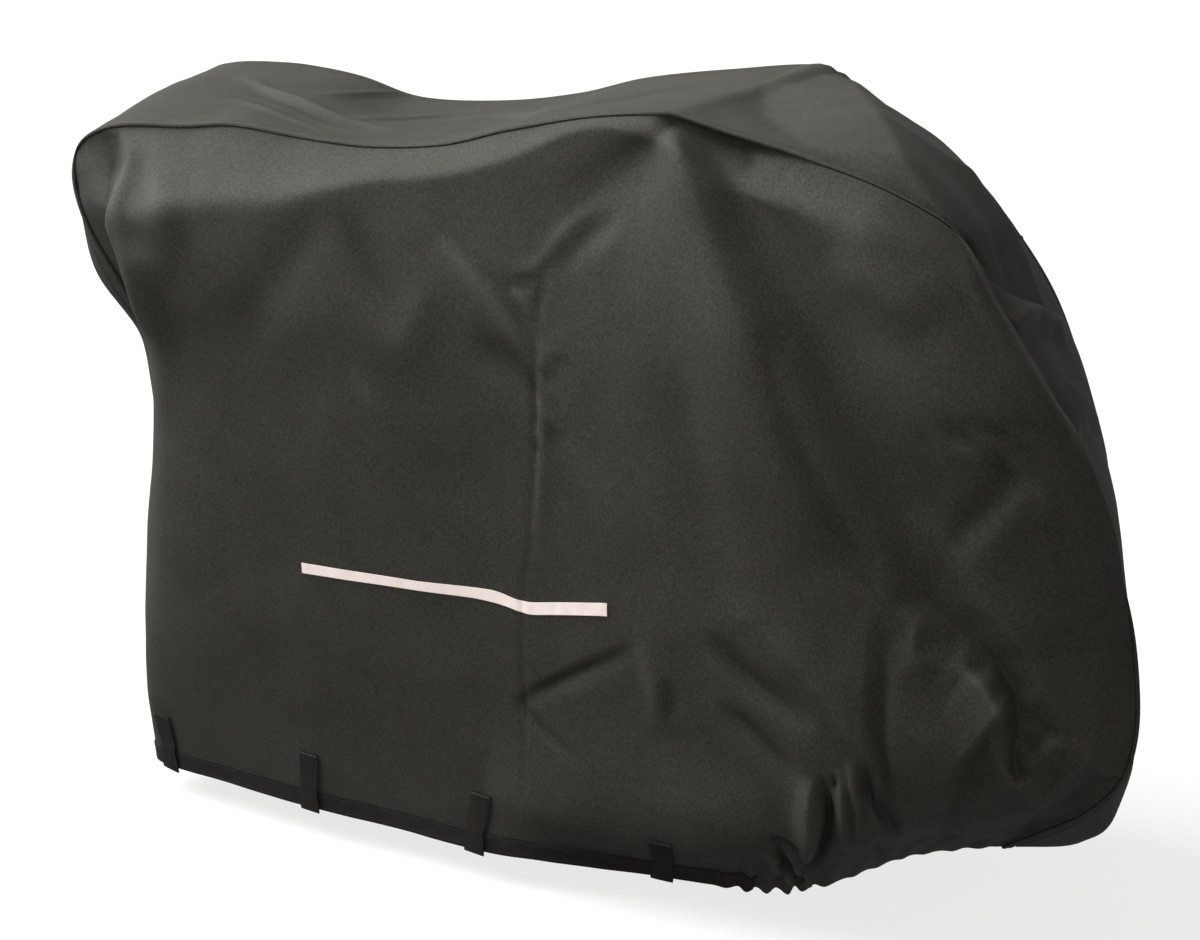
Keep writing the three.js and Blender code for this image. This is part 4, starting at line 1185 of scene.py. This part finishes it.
def onPanel(side, spots):
    # the points of a side panel that lie straight behind the (forward, up) spots, and its way out there
    _, _, _, points, _ = panels[side]
    normals = gridNormals(points, side)
    flat = points[..., [0, 2]]
    places, outs = [], []
    for spot in np.reshape(spots, (-1, 2)):
        i, j = np.unravel_index(np.argmin(np.sum((flat - spot) ** 2, axis=-1)), flat.shape[:2])
        i = min(max(i, 1), flat.shape[0] - 2)
        j = min(max(j, 1), flat.shape[1] - 2)
        steps = np.stack([points[i + 1, j] - points[i - 1, j], points[i, j + 1] - points[i, j - 1]]) / 2
        shares = np.linalg.solve(steps[:, [0, 2]].T, spot - flat[i, j])
        places.append(points[i, j] + shares @ steps)
        outs.append(normals[i, j])
    shape = (*np.shape(spots)[:-1], 3)
    return np.reshape(places, shape), np.reshape(outs, shape)


def makeTape():
    columns = np.linspace(tape["top"][0][0], tape["top"][-1][0], tape["columns"])
    top, bottom = (evened(np.interp(columns, *zip(*tape[edge]))) for edge in ("top", "bottom"))
    rows = np.linspace(0, 1, tape["rows"])
    heights = top[:, None] * (1 - rows) + bottom[:, None] * rows
    spots = np.stack([np.broadcast_to(columns[:, None], heights.shape), heights], axis=-1)
    places, outs = onPanel(nearSide, spots)
    return places + outs * tape["lift"]


tapePoints = makeTape()
tapePiece = sheetObject("tape_strip", tapePoints, nearSide, gridSizes(tapePoints))
thicken(tapePiece, tape["thickness"])
finishPiece(tapePiece, tapeMaterial, "reflective_strip")

beltLoops = {
    "places": (62, 315, 577, 831),
    "leans": (-5, 2, 7, -1),
    "leanBelow": 6,
    "width": 30.0,
    "pinch": 0.16,
    "pinchReach": 10,
    "below": 4.0,
    "bandShares": (0.1, 1, 6),  # the first, the last and how many rows over the band
    "aboveBand": (1.2, 3, 7, 14, 24, 34, 44, 54, 61.0),
    "clothLift": 1.2,
    "bandLift": 1.9,
    "stepAbove": 10,
    "stepOver": 8,
    "thickness": 1.5,
    "thicknessShare": 0.7,
    "section": ((-0.5, 0), (-0.44, 0.35), (-0.2, 0.5), (0.2, 0.5), (0.44, 0.35), (0.5, 0)),
}


def makeLoop(side, place, lean):
    at, level, _, points, _ = panels[side]
    normals = gridNormals(points, side)
    stations = np.linspace(0, 1, cover["stations"])
    atPlace = np.interp(place, hemPoint(side, stations)[:, 0], stations)
    column, outs = (np.stack([readPoints(atPlace, at, grid[:, j]) for j in range(len(level))])
                    for grid in (points, normals))
    fromHem = lengthsAlong(column[::-1])[::-1]
    bandTop = np.interp(webbingBand["bandLevel"], level, fromHem)
    above = bandTop + np.array(beltLoops["aboveBand"])
    overBand = np.linspace(*beltLoops["bandShares"]) * bandTop
    heights = np.concatenate([[-beltLoops["below"], 0], overBand, above])
    centre = readPoints(heights, fromHem[::-1], column[::-1])
    out = unit(readPoints(heights, fromHem[::-1], unit(outs)[::-1]))
    centre[0] = column[-1] + unit(column[-1] - column[-6]) * beltLoops["below"]
    width = unit(unit(np.cross(np.gradient(centre, axis=0), out)).mean(axis=0))
    shares, swell = np.array(beltLoops["section"]).T
    stepped = smoothStep(bandTop + beltLoops["stepAbove"] - heights, 0, beltLoops["stepOver"])
    lift = beltLoops["clothLift"] + beltLoops["bandLift"] * stepped
    lift = lift + beltLoops["thickness"] * beltLoops["thicknessShare"]
    narrowed = 1 - beltLoops["pinch"] * np.exp(-((heights - bandTop) / beltLoops["pinchReach"]) ** 2)
    leaning = lean * smoothStep(heights, bandTop - beltLoops["leanBelow"], above[-1])
    sideways = shares * beltLoops["width"] * narrowed[:, None] + leaning[:, None]
    return centre[:, None] + width * sideways[..., None] + out[:, None] * (lift[:, None] + swell)[..., None]


loopPieces = {nearSide: [], farSide: []}
loopGrids = {nearSide: [], farSide: []}
for side, label in ((nearSide, "near"), (farSide, "far")):
    for number, (place, lean) in enumerate(zip(beltLoops["places"], beltLoops["leans"]), 1):
        grid = makeLoop(side, place, lean)
        outwardSign = np.sign(np.sum(gridNormals(grid, 1)[..., 1]) * side)
        piece = sheetObject(f"{label}_loop_{number}", grid, outwardSign, gridSizes(grid))
        thicken(piece, beltLoops["thickness"])
        finishPiece(piece, webbingMaterial, f"belt_loop_{label}_{number}")
        loopPieces[side].append(piece)
        loopGrids[side].append((grid, outwardSign))
print("trims made")

stitchRow = 2 + gussetCloth["edgeRows"].index(cover["stitchLine"])  # past the two rows of the lap
seamStitch = {"rows": (stitchRow, -1 - stitchRow), "spacing": 5.2, "length": 3.8, "width": 1.7,
              "height": 0.9, "lift": 0.3}
bandStitch = {"rows": (1, -2), "spacing": 5.0, "length": 3.6, "width": 0.8, "height": 0.6, "lift": 0.2}
tackStitch = {"endShare": 0.6, "spacing": 1.9, "length": 4.2, "width": 1.1, "height": 0.8, "lift": 0.3}


def addStitches(bm, path, outs, settings, lengthwise=None):
    # a row of stitches along a line, each a small bead of thread that lies on the cloth
    keys = lengthsAlong(path)
    wanted = (np.arange(int(keys[-1] / settings["spacing"])) + 0.5) * settings["spacing"]
    out = unit(readTable(keys, outs, wanted))
    way = readTable(keys, np.gradient(path, axis=0), wanted)
    way = way if lengthwise is None else np.broadcast_to(lengthwise, way.shape)
    across = unit(np.cross(out, way))
    way = unit(np.cross(across, out))
    places = toFrame(readTable(keys, path, wanted) + out * settings["lift"])
    sizes = [settings[size] / 1000 for size in ("length", "width", "height")]
    for place, *axes in zip(places, way, across, out):
        matrix = Matrix([Vector(axis) * size for axis, size in zip(axes, sizes)]).transposed().to_4x4()
        matrix.translation = Vector(place)
        bmesh.ops.create_icosphere(bm, subdivisions=1, radius=0.5, matrix=matrix)


def makeStitches(name, points, outs, settings):
    bm = bmesh.new()
    for row in settings["rows"]:
        addStitches(bm, points[:, row], outs[:, row], settings)
    return finishPiece(objectFrom(name, bm), threadMaterial, None)


def makeTacks(name, grids):
    # a bar of close stitches across the top of each loop
    bm = bmesh.new()
    share = tackStitch["endShare"]
    for grid, outwardSign in grids:
        row = grid[-1] * share + grid[-2] * (1 - share)
        addStitches(bm, row, gridNormals(grid, outwardSign)[-2], tackStitch, grid[-1, 2] - grid[-2, 2])
    return finishPiece(objectFrom(name, bm), paleThreadMaterial, None)


gussetOuts = gridNormals(gussetGrid, 1)
seamStitches = makeStitches("seam_stitches", gussetGrid, gussetOuts, seamStitch)
bandStitches = makeStitches("band_stitches", bandPoints, bandOuts, bandStitch)
tacks = {side: makeTacks(f"{label}_loop_tacks", loopGrids[side])
         for side, label in ((nearSide, "near"), (farSide, "far"))}
print("stitches made")
